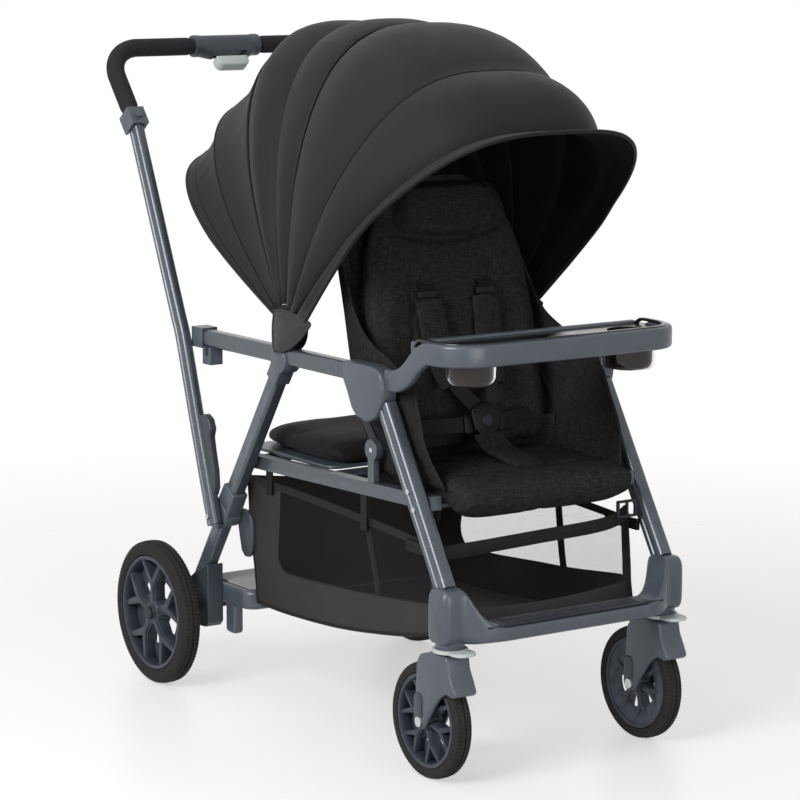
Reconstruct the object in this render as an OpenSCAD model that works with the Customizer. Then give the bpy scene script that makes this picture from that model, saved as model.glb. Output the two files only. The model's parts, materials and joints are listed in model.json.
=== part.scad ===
// Tandem stroller: front seat with canopy and tray, rear bench, standing platform and folding handle.
// Millimetres, +Z up, front towards -Y, ground at z = 0. Stations in y are counted from the front axle.

/* [Wheels] */
// Front axle to rear axle
wheelbase = 744; // [700:1:790]
// Front wheel radius
front_wheel_r = 92.5; // [88:0.5:96]
// Front wheel width
front_wheel_w = 30; // [26:1:32]
// Front wheel station from the middle
front_wheel_x = 206; // [200:1:210]
// Rear wheel radius
rear_wheel_r = 125; // [115:1:130]
// Rear wheel width
rear_wheel_w = 34; // [30:1:36]
// Rear wheel station from the middle
rear_wheel_x = 269; // [268:1:280]
// Front tyre height
front_tyre_h = 18; // [17:1:22]
// Rear tyre height
rear_tyre_h = 26; // [20:1:30]
// Rim ring thickness
rim_t = 7; // [5:1:9]
// Front hub radius
front_hub_r = 13; // [11:1:16]
// Rear hub radius
rear_hub_r = 20; // [16:1:24]
// Front spoke width
front_spoke_w = 9; // [6:1:12]
// Rear spoke width
rear_spoke_w = 14; // [10:1:18]
// Spoke thickness across the wheel
spoke_t = 12; // [8:1:16]
// Front spoke count
front_spokes = 8; // [5:1:9]
// Rear spoke count
rear_spokes = 5; // [4:1:7]
// Tyre shoulder rounding
tyre_round = 8; // [5:0.5:8]
// Rear axle radius
axle_r = 8; // [6:0.5:9]
// Front axle bolt radius
bolt_r = 4; // [3:0.5:5]
// Bolt and axle head radius
head_r = 8; // [7:0.5:10]
// Bolt and axle head thickness
head_t = 4; // [3:0.5:6]

/* [Caster] */
// Front axle behind the swivel stem
caster_trail = 49; // [40:1:56]
// Swivel stem radius
stem_r = 8; // [6:0.5:10]
// Height of the swivel socket's lower end
socket_z = 212; // [208:1:218]
// Height of the swivel socket's upper end
socket_top_z = 292; // [285:1:300]
// Swivel socket radius
socket_r = 21; // [19:0.5:22]
// Fork arm thickness
fork_t = 5; // [4:0.5:6]
// Fork crown depth
crown_h = 22; // [18:1:26]
// Fork crown radius
crown_r = 19; // [17:0.5:20]
// Swivel lock plate thickness
lock_t = 4; // [3:0.5:5]
// Swivel lock plate reach from the stem
lock_reach = 38; // [32:1:42]
// Swivel lock plate width
lock_w = 30; // [24:1:34]
// Swivel stem length above the fork crown
stem_l = 44; // [38:1:50]
// Gap between the wheel and each fork arm
arm_gap = 2; // [1.5:0.1:3]
// Guard length ahead of the crown
fender_l = 50; // [42:1:56]

/* [Frame] */
// Fold pivot station
fold_y = 600; // [590:1:610]
// Fold pivot height
fold_z = 316; // [310:1:322]
// Strut top station
strut_top_y = 408; // [400:1:416]
// Armrest middle height
arm_z = 612; // [608:1:616]
// Strut top below the armrest's middle
strut_drop = 7; // [4:1:12]
// Armrest rear end station
arm_rear_y = 682; // [676:1:686]
// Armrest front end station
arm_front_y = 200; // [190:1:210]
// Armrest tube height
arm_h = 28; // [24:1:30]
// Side tube width across the stroller
side_w = 24; // [20:1:26]
// Side tube depth
side_d = 28; // [24:1:32]
// Side tube station from the middle
side_x = 214; // [212:1:214]
// Tube corner rounding
tube_round = 6; // [3:0.5:8]
// Tube wall
tube_wall = 2; // [1.5:0.1:3]
// Front leg station from the middle
leg_x = 211; // [211:1:212]
// Front leg top station
leg_top_y = 116; // [110:1:120]
// Front leg top below the armrest's middle
leg_drop = 44; // [40:1:48]
// Front leg lower end station
leg_low_y = -44; // [-48:1:-40]
// Front leg lower end height
leg_low_z = 308; // [304:1:312]
// Front leg depth
leg_d = 32; // [28:1:36]
// Lower rear leg length below the fold pivot
rear_leg_l = 166; // [160:1:172]
// Plastic fitting wall around a tube
fitting_wall = 3; // [2.5:0.1:3]
// Fold pivot pin radius
pin_r = 4; // [3:0.5:5]
// Fold cheek radius
cheek_r = 18; // [17:0.5:20]
// Rivet head radius
rivet_r = 4.5; // [3.5:0.5:6]
// Rivet head thickness
rivet_t = 1.6; // [1:0.1:2]
// Front bracket length
bracket_l = 150; // [140:1:160]
// Front bracket height
bracket_h = 104; // [98:1:110]
// Front bracket start ahead of the leg top
bracket_lead = 20; // [16:1:24]
// Front bracket start below the leg top
bracket_drop = 36; // [32:1:40]
// Armrest end cap length
cap_l = 34; // [28:1:40]
// Hook length under the armrest cap
hook_l = 26; // [22:1:30]
// Hook height under the armrest cap
hook_h = 30; // [24:1:34]
// Strut bracket sleeve length on the armrest
sleeve_l = 62; // [56:1:68]
// Strut bracket socket length on the strut
socket_l = 54; // [48:1:60]
// Fold housing length on the strut
fold_l = 72; // [64:1:80]

/* [Seat frame] */
// Rail station from the middle
rail_x = 188.5; // [186:0.5:188.5]
// Rail width
rail_w = 20; // [16:1:20]
// Rail height
rail_h = 22; // [18:1:24]
// Rail front station
rail_front_y = 14; // [10:1:20]
// Rail rear station
rail_rear_y = 545; // [540:1:550]
// Rail front height
rail_front_z = 428; // [426:1:430]
// Rail rear height
rail_rear_z = 414; // [412:1:416]
// Cross tube radius
cross_r = 8; // [7:0.5:9]
// Cross tube height
cross_z = 418; // [416:1:420]
// Recline pivot station
recline_y = 181; // [176:1:186]
// Recline pivot height
recline_z = 487; // [482:1:490]
// Recline disc radius
disc_r = 17; // [15:0.5:19]
// Recline disc thickness
disc_t = 9; // [8:0.5:9.5]

/* [Handle] */
// Handle tube station from the middle
handle_x = 240; // [240:1:242]
// Handle tube width
handle_w = 20; // [16:1:20]
// Handle tube depth
handle_d = 30; // [26:1:32]
// Handle knee station
knee_y = 700; // [694:1:706]
// Handle knee height
knee_z = 620; // [615:1:625]
// Collar station
collar_y = 853; // [848:1:858]
// Collar height
collar_z = 965; // [960:1:970]
// Grip bar station
grip_y = 953; // [946:1:958]
// Grip bar height
grip_z = 1088; // [1080:1:1095]
// Grip tube radius
grip_r = 11; // [10:0.5:12]
// Foam outer radius
foam_r = 16; // [15:0.5:18]
// Bend radius of the handlebar
bend_r = 62; // [50:1:70]
// Collar length
collar_l = 34; // [28:1:40]
// Release housing length
housing_l = 134; // [110:1:140]
// Release housing end ring length
housing_ring_l = 18; // [14:1:22]
// Release housing depth
housing_d = 44; // [40:1:48]
// Release lever length
lever_l = 64; // [50:1:76]
// Release lever thickness
lever_t = 13; // [10:1:16]
// Release lever gap below its housing
lever_gap = 9; // [8:0.5:12]
// Release lever travel
lever_travel = 8; // [6:0.5:8]
// Release lever neck width
neck_w = 24; // [18:1:30]
// Release lever neck thickness
neck_t = 8; // [6:0.5:10]
// Release lever neck length inside its housing
neck_l = 5; // [4:0.5:6]
// Thinning of the handlebar's bends
bend_thin = 0.4; // [0.3:0.1:0.6]
// Collar knob radius
knob_r = 7; // [5:0.5:9]
// Fold slider length
slider_l = 128; // [110:1:135]
// Fold slider wall
slider_wall = 3; // [2.5:0.1:4]
// Fold slider start above the fold pivot
slider_start = 32; // [28:1:40]
// Fold slider tab length
tab_l = 24; // [18:1:30]
// Fold slider tab height
tab_h = 9; // [7:0.5:11]
// Fold latch length
latch_l = 46; // [40:1:50]
// Fold latch end radius
latch_r = 10; // [8:0.5:11]
// Fold latch thickness
latch_t = 9; // [7:0.5:10]

/* [Platform] */
// Platform gap behind the basket
deck_gap = 9; // [6:1:14]
// Platform rear station
deck_rear_y = 716; // [705:1:720]
// Platform underside height
deck_z = 152; // [148:1:158]
// Platform thickness
deck_h = 33; // [28:1:36]
// Platform grip sheet thickness
deck_grip_t = 3; // [2:0.5:4]
// Platform corner rounding
deck_round = 26; // [18:1:32]
// Rear post size
post_l = 100; // [94:1:106]
// Support block width under the platform
block_w = 20; // [16:1:24]
// Support block length under the platform
block_l = 30; // [24:1:36]
// Support block height under the platform
block_h = 50; // [40:1:56]
// Support block station
block_y = 620; // [610:1:630]

/* [Footrest] */
// Footrest front station
foot_front_y = -104; // [-110:1:-98]
// Footrest rear station
foot_rear_y = -54; // [-58:1:-48]
// Footrest underside height
foot_z = 226; // [222:1:230]
// Footrest height
foot_h = 24; // [20:1:28]
// Footrest grip strip thickness
foot_grip_t = 3; // [2:0.5:4]
// Footrest grip strip inset from the wheel stations
grip_inset = 36; // [30:1:44]

/* [Tray] */
// Tray half width
tray_half_w = 226; // [220:1:226]
// Tray front station
tray_front_y = -85; // [-92:1:-80]
// Tray rear station
tray_rear_y = 45; // [40:1:50]
// Tray underside above the armrest's middle
tray_lift = 36; // [32:1:40]
// Tray height
tray_h = 35; // [30:1:38]
// Tray front corner rounding
tray_round = 62; // [50:1:64]
// Tray rim width
tray_rim = 14; // [11:1:17]
// Tray floor thickness
tray_floor_t = 5; // [4:0.5:7]
// Tray insert thickness
insert_t = 4; // [3:0.5:5]
// Tray arm length
tray_arm_l = 110; // [104:1:116]
// Tray arm height
tray_arm_h = 84; // [80:1:86]
// Tray tongue length in its bracket
tongue_l = 52; // [46:1:56]
// Tray tongue height
tongue_h = 16; // [12:1:18]
// Cup station from the middle
cup_x = 150; // [145:1:152]
// Cup station along the stroller
cup_y = -28; // [-32:1:-24]
// Cup inner radius
cup_r = 32; // [30:0.5:33]
// Cup depth
cup_h = 46; // [40:1:52]
// Cup wall
cup_wall = 2; // [1.5:0.1:3]
// Cup lip width
cup_lip = 5; // [4:0.5:6]

/* [Soft goods] */
// Seat pad half width
seat_half_w = 172; // [160:1:172]
// Seat pad front station
seat_front_y = -40; // [-46:1:-34]
// Seat pad rear station
seat_rear_y = 214; // [205:1:220]
// Seat pad thickness
seat_t = 34; // [28:1:38]
// Front roll height
roll_h = 54; // [46:1:60]
// Backrest foot station
back_y = 214; // [208:1:220]
// Backrest foot height
back_z = 492; // [488:1:496]
// Backrest length
back_l = 424; // [410:1:436]
// Backrest half width
back_half_w = 166; // [150:1:168]
// Backrest pad thickness
back_t = 36; // [30:1:42]
// Backrest side bolster height
bolster = 30; // [20:1:34]
// Backrest lean from upright in degrees
back_lean = 11; // [9:0.5:13]
// Backrest board thickness
board_t = 5; // [4:0.5:7]
// Bench pad front station
bench_front_y = 336; // [330:1:342]
// Bench pad rear station
bench_rear_y = 610; // [600:1:616]
// Bench half width
bench_half_w = 166; // [150:1:172]
// Bench pad thickness
bench_t = 34; // [28:1:40]
// Bench pan thickness
pan_t = 6; // [5:0.5:8]
// Wing panel thickness
wing_t = 2.4; // [2:0.1:2.6]
// Wing panel length
wing_l = 200; // [190:1:204]
// Wing panel height
wing_h = 328; // [310:1:334]
// Wing panel front station
wing_y = 30; // [24:1:36]
// Wing panel lower height
wing_z = 436; // [432:1:440]
// Basket half width
basket_half_w = 192; // [180:1:196]
// Basket fabric thickness
basket_t = 2; // [1.6:0.1:3]
// Basket gap behind the footrest
basket_gap = 54; // [48:1:64]
// Basket rear station
basket_rear_y = 570; // [560:1:574]
// Basket depth
basket_h = 220; // [200:1:226]
// Basket rim height at the rear
basket_z = 386; // [380:1:390]
// Basket clip width
clip_w = 18; // [14:1:22]
// Basket clip thickness
clip_t = 4; // [3:0.5:5]
// Basket front strap tab length
strap_tab_l = 84; // [76:1:90]
// Canopy pivot station
canopy_y = 385; // [380:1:390]
// Canopy pivot above the armrest's middle
canopy_lift = 48; // [44:1:52]
// Canopy bow reach
canopy_reach = 500; // [480:1:510]
// Canopy half width at the pivot
canopy_half_w = 226; // [224:1:227]
// Canopy fabric thickness
canopy_t = 1.6; // [1.2:0.1:2.4]
// Canopy mount radius
mount_r = 38; // [34:1:40]
// Gap between the canopy cloth and its mount
mount_gap = 0.8; // [0.6:0.1:0.9]
// Strap width
strap_w = 26; // [20:1:32]
// Strap thickness
strap_t = 3; // [2:0.2:4]
// Shoulder strap station from the middle
strap_x = 58; // [50:1:66]
// Shoulder strap inner station at the buckle
strap_in = 13; // [13:0.5:15]
// Shoulder strap top along the backrest
strap_rise = 236; // [225:1:245]
// Crotch strap lean in degrees
crotch_lean = 12; // [10:0.5:14]
// Buckle radius
buckle_r = 27; // [24:1:32]
// Buckle thickness
buckle_t = 14; // [12:1:18]
// Buckle middle ahead of the backrest's foot
buckle_lead = 70; // [66:1:74]
// Buckle middle along the backrest
buckle_rise = 15; // [12:1:18]
// Buckle button radius
button_r = 10; // [8:0.5:12]
// Buckle button thickness
button_t = 6; // [5:0.5:7]
// Buckle button travel
button_travel = 3; // [2:0.5:4]
// Buckle button height above the buckle
button_proud = 2; // [1:0.5:3]

/* [Fits] */
// Running clearance of a shaft in its bore
run_fit = 0.05; // [0.03:0.01:0.1]
// Clearance of a seated piece
seat_fit = 0.3; // [0.2:0.05:0.4]
// Overrun of a cut
cut = 1; // [0.5:0.1:2]

/* [Hidden] */
$fn = 48;
full_turn = 360;
half_turn = full_turn / 2;
quarter_turn = full_turn / 4;
slate = [0.22, 0.25, 0.29];
dark = [0.12, 0.13, 0.15];
black = [0.05, 0.05, 0.06];
cloth = [0.16, 0.16, 0.17];
pale = [0.62, 0.66, 0.66];
smoke = [0.3, 0.27, 0.25];

// Points of the side view are [station, height]
strut_top_z = arm_z - strut_drop;
leg_top_z = arm_z - leg_drop;
tray_z = arm_z + tray_lift;
canopy_z = arm_z + canopy_lift;
pivot = [fold_y, fold_z];
strut_top = [strut_top_y, strut_top_z];
leg_low = [leg_low_y, leg_low_z];
leg_top = [leg_top_y, leg_top_z];
knee = [knee_y, knee_z];
collar = [collar_y, collar_z];
grip = [grip_y, grip_z];
front_axle = [0, front_wheel_r];
rear_axle_at = [wheelbase, rear_wheel_r];
recline = [recline_y, recline_z];
strut_dir = (pivot - strut_top) / norm(pivot - strut_top);
leg_end = pivot + strut_dir * rear_leg_l;
handle_dir = (knee - pivot) / norm(knee - pivot);
knee_dir = (collar - knee) / norm(collar - knee);
top_dir = (grip - collar) / norm(grip - collar);
top_l = norm(grip - collar);
stem_y = -caster_trail;
side_in = side_x - side_w / 2;
side_out = side_x + side_w / 2;
fitting_out = side_out + fitting_wall + seat_fit;
fitting_in = side_in - fitting_wall - seat_fit;
fitting_mid = (fitting_in + fitting_out) / 2;
pad_z = cross_z + cross_r + seat_fit;

// Fittings
bracket_at = leg_top - [bracket_lead, bracket_drop];
bracket_shares = [[1, 0.56], [1, 0.96], [0.45, 0.98], [0.06, 0.92], [0, 0.62], [0.06, 0.2], [0.36, 0],
  [0.6, 0.16], [0.72, 0.5]];
tray_arm_y = bracket_at[0] - seat_fit;
rivet_shares = [0.43, 0.53];
cross_shares = [0.07, 0.33, 0.61];
rear_cross_y = strut_top_y + (strut_top_z - cross_z) * strut_dir[0] / -strut_dir[1];
recline_in = rail_x - rail_w / 2 + disc_t;
pin_out = handle_x + handle_w / 2 + head_t / 2;

// Pads are closed rings of this many points; higher roundness is squarer
ring_steps = 32;
seat_round = 5;
bench_round = 4;
back_round = 4;
// Rows of pad shares: station, thickness, width
seat_shares = [[0, 0.3, 0.72], [0.02, 0.6, 0.9], [0.06, 0.86, 0.97], [0.12, 1, 0.99], [0.18, 0.95, 1],
  [0.24, 0.74, 1], [0.3, 0.68, 1], [0.4, 0.66, 1], [0.52, 0.6, 1], [0.64, 0.66, 1], [0.8, 0.62, 0.99],
  [0.92, 0.5, 0.98], [1, 0.3, 0.95]];
roll_end_share = 0.3;
crown_share = 0.15;
bench_shares = [[0, 0.3, 0.86], [0.03, 0.62, 0.95], [0.1, 0.86, 0.99], [0.25, 1, 1], [0.5, 0.96, 1],
  [0.75, 1, 0.98], [0.9, 0.86, 0.9], [0.97, 0.6, 0.8], [1, 0.3, 0.7]];
back_shares = [[0, 0.5, 0.9], [0.03, 0.8, 0.96], [0.1, 1, 1], [0.3, 0.95, 1], [0.5, 1, 1], [0.66, 0.95, 0.97],
  [0.72, 1.2, 0.94], [0.84, 1.25, 0.84], [0.92, 1.05, 0.68], [0.97, 0.8, 0.5], [1, 0.4, 0.3]];
wing_shares = [[0.94, 0.98], [1, 0.98], [0.98, 0.5], [0.82, 0.22], [0.8, 0.02], [0.15, 0], [0, 0.06],
  [0.08, 0.2], [0.4, 0.36], [0.66, 0.66]];

// Backrest board and arms
board_l_share = 0.84;
board_low_share = 0.12;
board_arm_share = 0.2;
board_w_share = 0.8;
board_top_share = 0.35;
board_mid = (back_t + board_t) / 2;
arm_at = [back_y, back_z] + board_arm_share * back_l * [sin(back_lean), cos(back_lean)]
  + board_mid * [cos(back_lean), -sin(back_lean)];
arm_in = rail_x - rail_w / 2 - seat_fit;
arm_t = disc_t - 2 * seat_fit;

// Basket outline as shares of its length and depth, from the rear rim forwards
basket_front_y = foot_rear_y + basket_gap;
basket_l = basket_rear_y - basket_front_y;
basket_set_share = 0.042;
rim_l_share = 0.92;
rim_drop_share = 0.11;
basket_low_shares = [[-0.018, -0.4], [-basket_set_share, -0.98], [-0.19, -0.995], [-0.48, -0.98],
  [-0.75, -0.9], [-0.98, -0.76], [-1, -0.7], [-0.96, -0.4]];
basket_rim = -rim_l_share * [1, rim_drop_share];
basket_shares = concat([[0, 0]], basket_low_shares, [basket_rim]);
basket_mouth_share = 0.2;
basket_in_shares = concat([[0, basket_mouth_share]], basket_low_shares, [[-rim_l_share, basket_mouth_share]]);
clip_shares = [0.36, 0.9];
deck_front_y = basket_rear_y - basket_set_share * basket_l + deck_gap;
deck_mid_y = (deck_front_y + deck_rear_y) / 2;
deck_half_w = fitting_in - seat_fit;

// Handle
housing_r_share = 0.44;
housing_low_share = 0.62;
housing_t_share = 0.66;
housing_core_share = 0.9;
// Body below the grip: across as a share of its length, down as a share of its depth
housing_shares = [[-0.43, 0], [-0.43, 0.42], [-0.27, 1], [0.27, 1], [0.43, 0.42], [0.43, 0]];
housing_r = housing_d * housing_r_share;
housing_low = top_l - housing_d * housing_low_share;
collar_mid = collar_l / 8;
collar_end = collar_mid + collar_l / 2;
latch_at = pivot + strut_dir * (cheek_r - cut);
latch_end = latch_at + strut_dir * latch_l;
latch_x = fitting_in - seat_fit - latch_t;

// Rear frame and casters
post_shares = [[-1.04, 0.97], [-0.66, 0.8], [-0.38, 0.62], [0.14, 0.2], [0.18, -0.1], [-0.08, -0.2],
  [-0.95, -0.14], [-1.04, -0.05]];
axle_end = rear_wheel_x + rear_wheel_w / 2 + seat_fit;
rim_w_share = 0.8;
fork_in = front_wheel_w / 2 + arm_gap;
fork_out = fork_in + fork_t;
crown_z = socket_z - seat_fit;
fork_shares = [[-0.36, 1], [0.5, 1], [1.3, 0.1], [1.22, -0.12], [0.8, -0.14], [0.6, 0.12]];

// Canopy bows from rear to front: reach share, degrees above the rear, width share, roundness, lip share
bow_shares = [[1.085, 27.5, 1.05, 3, 0], [1.075, 39, 1, 2.5, 0], [1.035, 60, 1.02, 2.5, 0],
  [0.98, 76, 1.01, 2.45, 0], [0.97, 93, 1.04, 2.65, 0], [0.985, 121, 1.1, 2.82, 0],
  [1, 138.5, 1.065, 2.9, 0], [1.11, 143, 1.11, 3.2, 0.06]];
// How far each panel bulges outside the line between its bows
scallop_shares = [-0.03, -0.035, 0.025, 0.006, 0.02, 0.022, -0.01];
// Reach at which the front edge's wrap round the mount has faded out
lip_end_share = 0.66;
seam_share = 0.02;
panel_steps = 4;
round_steps = 24;

// Harness points are [to the rear, up] in the backrest's frame
buckle_at = [-buckle_lead, buckle_rise];
strap_top = [-back_t / 2 - seat_fit - strap_t / 2, strap_rise];
crotch_top = buckle_rise - buckle_r - strap_t / 4;
crotch_l = back_z + buckle_lead * sin(back_lean) + crotch_top * cos(back_lean)
  - (pad_z + seat_t + strap_t / 2);

// Tray
tray_arm_shares = [[1, 0.02], [1, 0.4], [0.78, 0.5], [0.6, 0.72], [0.42, 0.98], [0.1, 0.98], [0, 0.6],
  [0.36, 0.5], [0.56, 0.16], [0.74, 0.03]];
tray_arm_size = [tray_arm_l, tray_arm_h];
cup_top = tray_z + tray_floor_t + 2 * seat_fit + insert_t;

// The middle of the overall length
origin_y = (grip_y + housing_r + foot_front_y) / 2;

function outline(at, size, shares) = [for (s = shares) [at[0] + s[0] * size[0], at[1] + s[1] * size[1]]];
function power(c, n) = sign(c) * pow(abs(c), 2 / n);
function beside(p, d, r) = p + r * [d[1], -d[0]];

module place() translate([0, -origin_y, 0]) children();
module flip() mirror([1, 0, 0]) children();
module both() {
  children();
  flip() children();
}
// A bar along the line from a to b in the side view; its section is a child, x across
module bar(a, b) translate([0, a[0], a[1]]) rotate([-atan2((b - a)[0], (b - a)[1]), 0, 0])
  linear_extrude(norm(b - a)) children();
// A round bar across the stroller from x0 to x1 at a side-view point
module cross(p, r, x0, x1) translate([x0, p[0], p[1]]) rotate([0, quarter_turn, 0])
  cylinder(r = r, h = x1 - x0);
// A side-view outline given thickness from x0 to x1
module slab(points, x0, x1) translate([x0, 0, 0]) rotate([quarter_turn, 0, quarter_turn])
  linear_extrude(x1 - x0) polygon(points);
module rrect(w, d, r) {
  square([w, d - 2 * r], center = true);
  square([w - 2 * r, d], center = true);
  for (sx = [-1, 1], sy = [-1, 1]) translate([sx * (w / 2 - r), sy * (d / 2 - r)]) circle(r);
}
module hollow(w, d, r) difference() {
  rrect(w, d, r);
  rrect(w - 2 * tube_wall, d - 2 * tube_wall, r - tube_wall);
}
// A closed skin through a row of closed loops, each with the same even number of points
module loft(rings) {
  m = len(rings[0]);
  last = (len(rings) - 1) * m;
  sides = [for (i = [0:len(rings) - 2], j = [0:m - 1]) let (a = i * m + j, b = i * m + (j + 1) % m) each
    [[a, a + m, b], [b, a + m, b + m]]];
  caps = [for (j = [0:m / 2 - 2]) let (k = m - 1 - j) each
    [[j, j + 1, k - 1], [j, k - 1, k],
      [last + k - 1, last + j + 1, last + j], [last + k, last + k - 1, last + j]]];
  polyhedron([for (r = rings) each r], concat(sides, caps), convexity = 6);
}

// Tubes; grow is the clearance when a tube cuts its fitting
module tube(w, d, grow) {
  if (grow > 0) square([w + 2 * grow, d + 2 * grow], center = true);
  else hollow(w, d, tube_round);
}
module armrest(grow = 0) translate([side_x, 0, 0]) bar([arm_front_y, arm_z], [arm_rear_y, arm_z])
  tube(side_w, arm_h, grow);
module strut_bar(grow = 0) translate([side_x, 0, 0])
  bar(strut_top, pivot - strut_dir * (cheek_r + tube_round)) tube(side_w, side_d, grow);
module strut() difference() {
  strut_bar();
  armrest(seat_fit);
}
module front_leg(grow = 0) translate([leg_x, 0, 0]) bar(leg_low, leg_top) tube(side_w, leg_d, grow);
module rear_leg_bar(grow = 0) translate([side_x, 0, 0]) bar(pivot + strut_dir * tube_round, leg_end) {
  if (grow > 0) square([side_w + 2 * grow, side_d + 2 * grow], center = true);
  else rrect(side_w, side_d, tube_round);
}
module rear_leg() difference() {
  union() {
    rear_leg_bar();
    cross(pivot, side_d / 2 + cut, side_in, side_out);
  }
  cross(pivot, pin_r + run_fit, side_in - cut, side_out + cut);
}
module front_leg_left() color(slate) place() front_leg();
module front_leg_right() color(slate) place() flip() front_leg();
module armrest_left() color(slate) place() armrest();
module armrest_right() color(slate) place() flip() armrest();
module strut_left() color(slate) place() strut();
module strut_right() color(slate) place() flip() strut();
module rear_leg_left() color(slate) place() rear_leg();
module rear_leg_right() color(slate) place() flip() rear_leg();

// Fittings on the chassis
module tongue(grow) translate([side_x, tray_arm_y + tongue_l / 2 - cut, arm_z + tongue_h / 4])
  cube([side_w - 2 * tube_round + 2 * grow, tongue_l + 2 * grow, tongue_h + 2 * grow], center = true);
module front_brackets() color(slate) place() both() difference() {
  slab(outline(bracket_at, [bracket_l, bracket_h], bracket_shares), leg_x - side_w / 2 - fitting_wall,
    fitting_out);
  armrest(seat_fit);
  front_leg(seat_fit);
  tongue(seat_fit);
}
module armrest_caps() color(slate) place() both() difference() {
  union() {
    translate([fitting_mid, arm_rear_y - cap_l / 2 + fitting_wall, arm_z])
      cube([fitting_out - fitting_in, cap_l, arm_h + 2 * fitting_wall], center = true);
    translate([0, arm_rear_y - cap_l - hook_l / 4, arm_z - arm_h / 2 - hook_h / 2 + fitting_wall])
      difference() {
        translate([side_x, 0, 0]) cube([side_w, hook_l, hook_h + 2 * fitting_wall], center = true);
        cross([0, fitting_wall], hook_l / 4, side_in - cut, side_out + cut);
        translate([side_x, 0, hook_h / 2]) cube([side_w + 2 * cut, hook_l / 2, hook_h], center = true);
      }
  }
  armrest(seat_fit);
}
module strut_brackets() color(slate) place() both() difference() {
  union() {
    translate([fitting_mid, strut_top_y, arm_z])
      cube([fitting_out - fitting_in, sleeve_l, arm_h + 2 * fitting_wall], center = true);
    translate([side_x, 0, 0]) bar(strut_top, strut_top + strut_dir * socket_l)
      square([side_w + 2 * fitting_wall, side_d + 2 * fitting_wall], center = true);
  }
  armrest(seat_fit);
  strut_bar(seat_fit);
}
module fold_housings() color(slate) place() both() difference() {
  union() {
    translate([side_x, 0, 0]) bar(pivot - strut_dir * fold_l, pivot - strut_dir * cheek_r)
      square([fitting_out - fitting_in, side_d + 2 * fitting_wall], center = true);
    for (x0 = [fitting_in, side_out + seat_fit]) {
      cross(pivot, cheek_r, x0, x0 + fitting_wall);
      translate([x0 + fitting_wall / 2, 0, 0]) bar(pivot - strut_dir * (cheek_r + cut), pivot)
        square([fitting_wall, 2 * cheek_r], center = true);
    }
  }
  strut_bar(seat_fit);
  cross(pivot, pin_r + run_fit, fitting_in - cut, fitting_out + cut);
}
module rail(grow = 0) translate([rail_x, 0, 0]) bar([rail_front_y, rail_front_z], [rail_rear_y, rail_rear_z])
  square([rail_w + 2 * grow, rail_h + 2 * grow], center = true);
module seat_frame() color(slate) place() {
  both() rail();
  for (s = cross_shares)
    cross([rail_front_y + s * (rail_rear_y - rail_front_y), cross_z], cross_r, -rail_x, rail_x);
  cross([rear_cross_y, cross_z], cross_r, seat_fit - side_in, side_in - seat_fit);
}
module footrest() color(slate) place() difference() {
  union() {
    both() {
      translate([front_wheel_x, stem_y, socket_z]) cylinder(r = socket_r, h = socket_top_z - socket_z);
      translate([leg_x, stem_y + foot_h / 4, socket_top_z]) cube([side_w + 4 * fitting_wall,
        leg_d + 4 * fitting_wall + foot_h / 2, socket_top_z - foot_z], center = true);
    }
    translate([-front_wheel_x, foot_front_y, foot_z])
      cube([2 * front_wheel_x, foot_rear_y - foot_front_y, foot_h]);
  }
  both() {
    front_leg(seat_fit);
    translate([front_wheel_x, stem_y, socket_z - cut])
      cylinder(r = stem_r + run_fit, h = stem_l + cut + head_t);
  }
}
module footrest_grip() color(dark) place()
  translate([grip_inset - front_wheel_x, foot_front_y + foot_grip_t, foot_z + foot_h])
    cube([2 * (front_wheel_x - grip_inset), foot_rear_y - foot_front_y - 2 * foot_grip_t, foot_grip_t]);
module recline_brackets() color(slate) place() both() difference() {
  union() {
    cross(recline, disc_r, recline_in, rail_x + rail_w / 2);
    translate([(recline_in + rail_x + rail_w / 2) / 2, 0, 0]) bar([recline_y, rail_front_z], recline)
      square([rail_x + rail_w / 2 - recline_in, disc_r], center = true);
  }
  rail(seat_fit);
  cross(recline, pin_r + run_fit, recline_in - cut, rail_x + rail_w);
}
module rivets() color(pale) place() both() {
  cross(pivot, pin_r, fitting_in - rivet_t, pin_out);
  cross(pivot, rivet_r, fitting_in - rivet_t - seat_fit, fitting_in - seat_fit / 2);
  cross(pivot, rivet_r, pin_out, pin_out + rivet_t);
  cross(strut_top, rivet_r, fitting_out, fitting_out + rivet_t / 4);
  cross(recline, pin_r, recline_in - disc_t - seat_fit, rail_x + rail_w / 2);
  for (s = rivet_shares)
    cross(leg_low + s * (leg_top - leg_low), rivet_r, leg_x + side_w / 2, leg_x + side_w / 2 + rivet_t);
}
module canopy_mounts() color(black) place() both() difference() {
  cross([canopy_y, canopy_z], mount_r, side_in + tube_round, fitting_out - seat_fit);
  armrest(seat_fit);
  translate([fitting_mid, strut_top_y, arm_z]) cube([2 * side_w, sleeve_l + 2 * seat_fit,
    arm_h + 2 * fitting_wall + 2 * seat_fit], center = true);
  translate([0, 0, arm_z - arm_h - mount_r])
    cube([2 * handle_x, 4 * strut_top_y, 2 * mount_r + arm_h], center = true);
}

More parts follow.
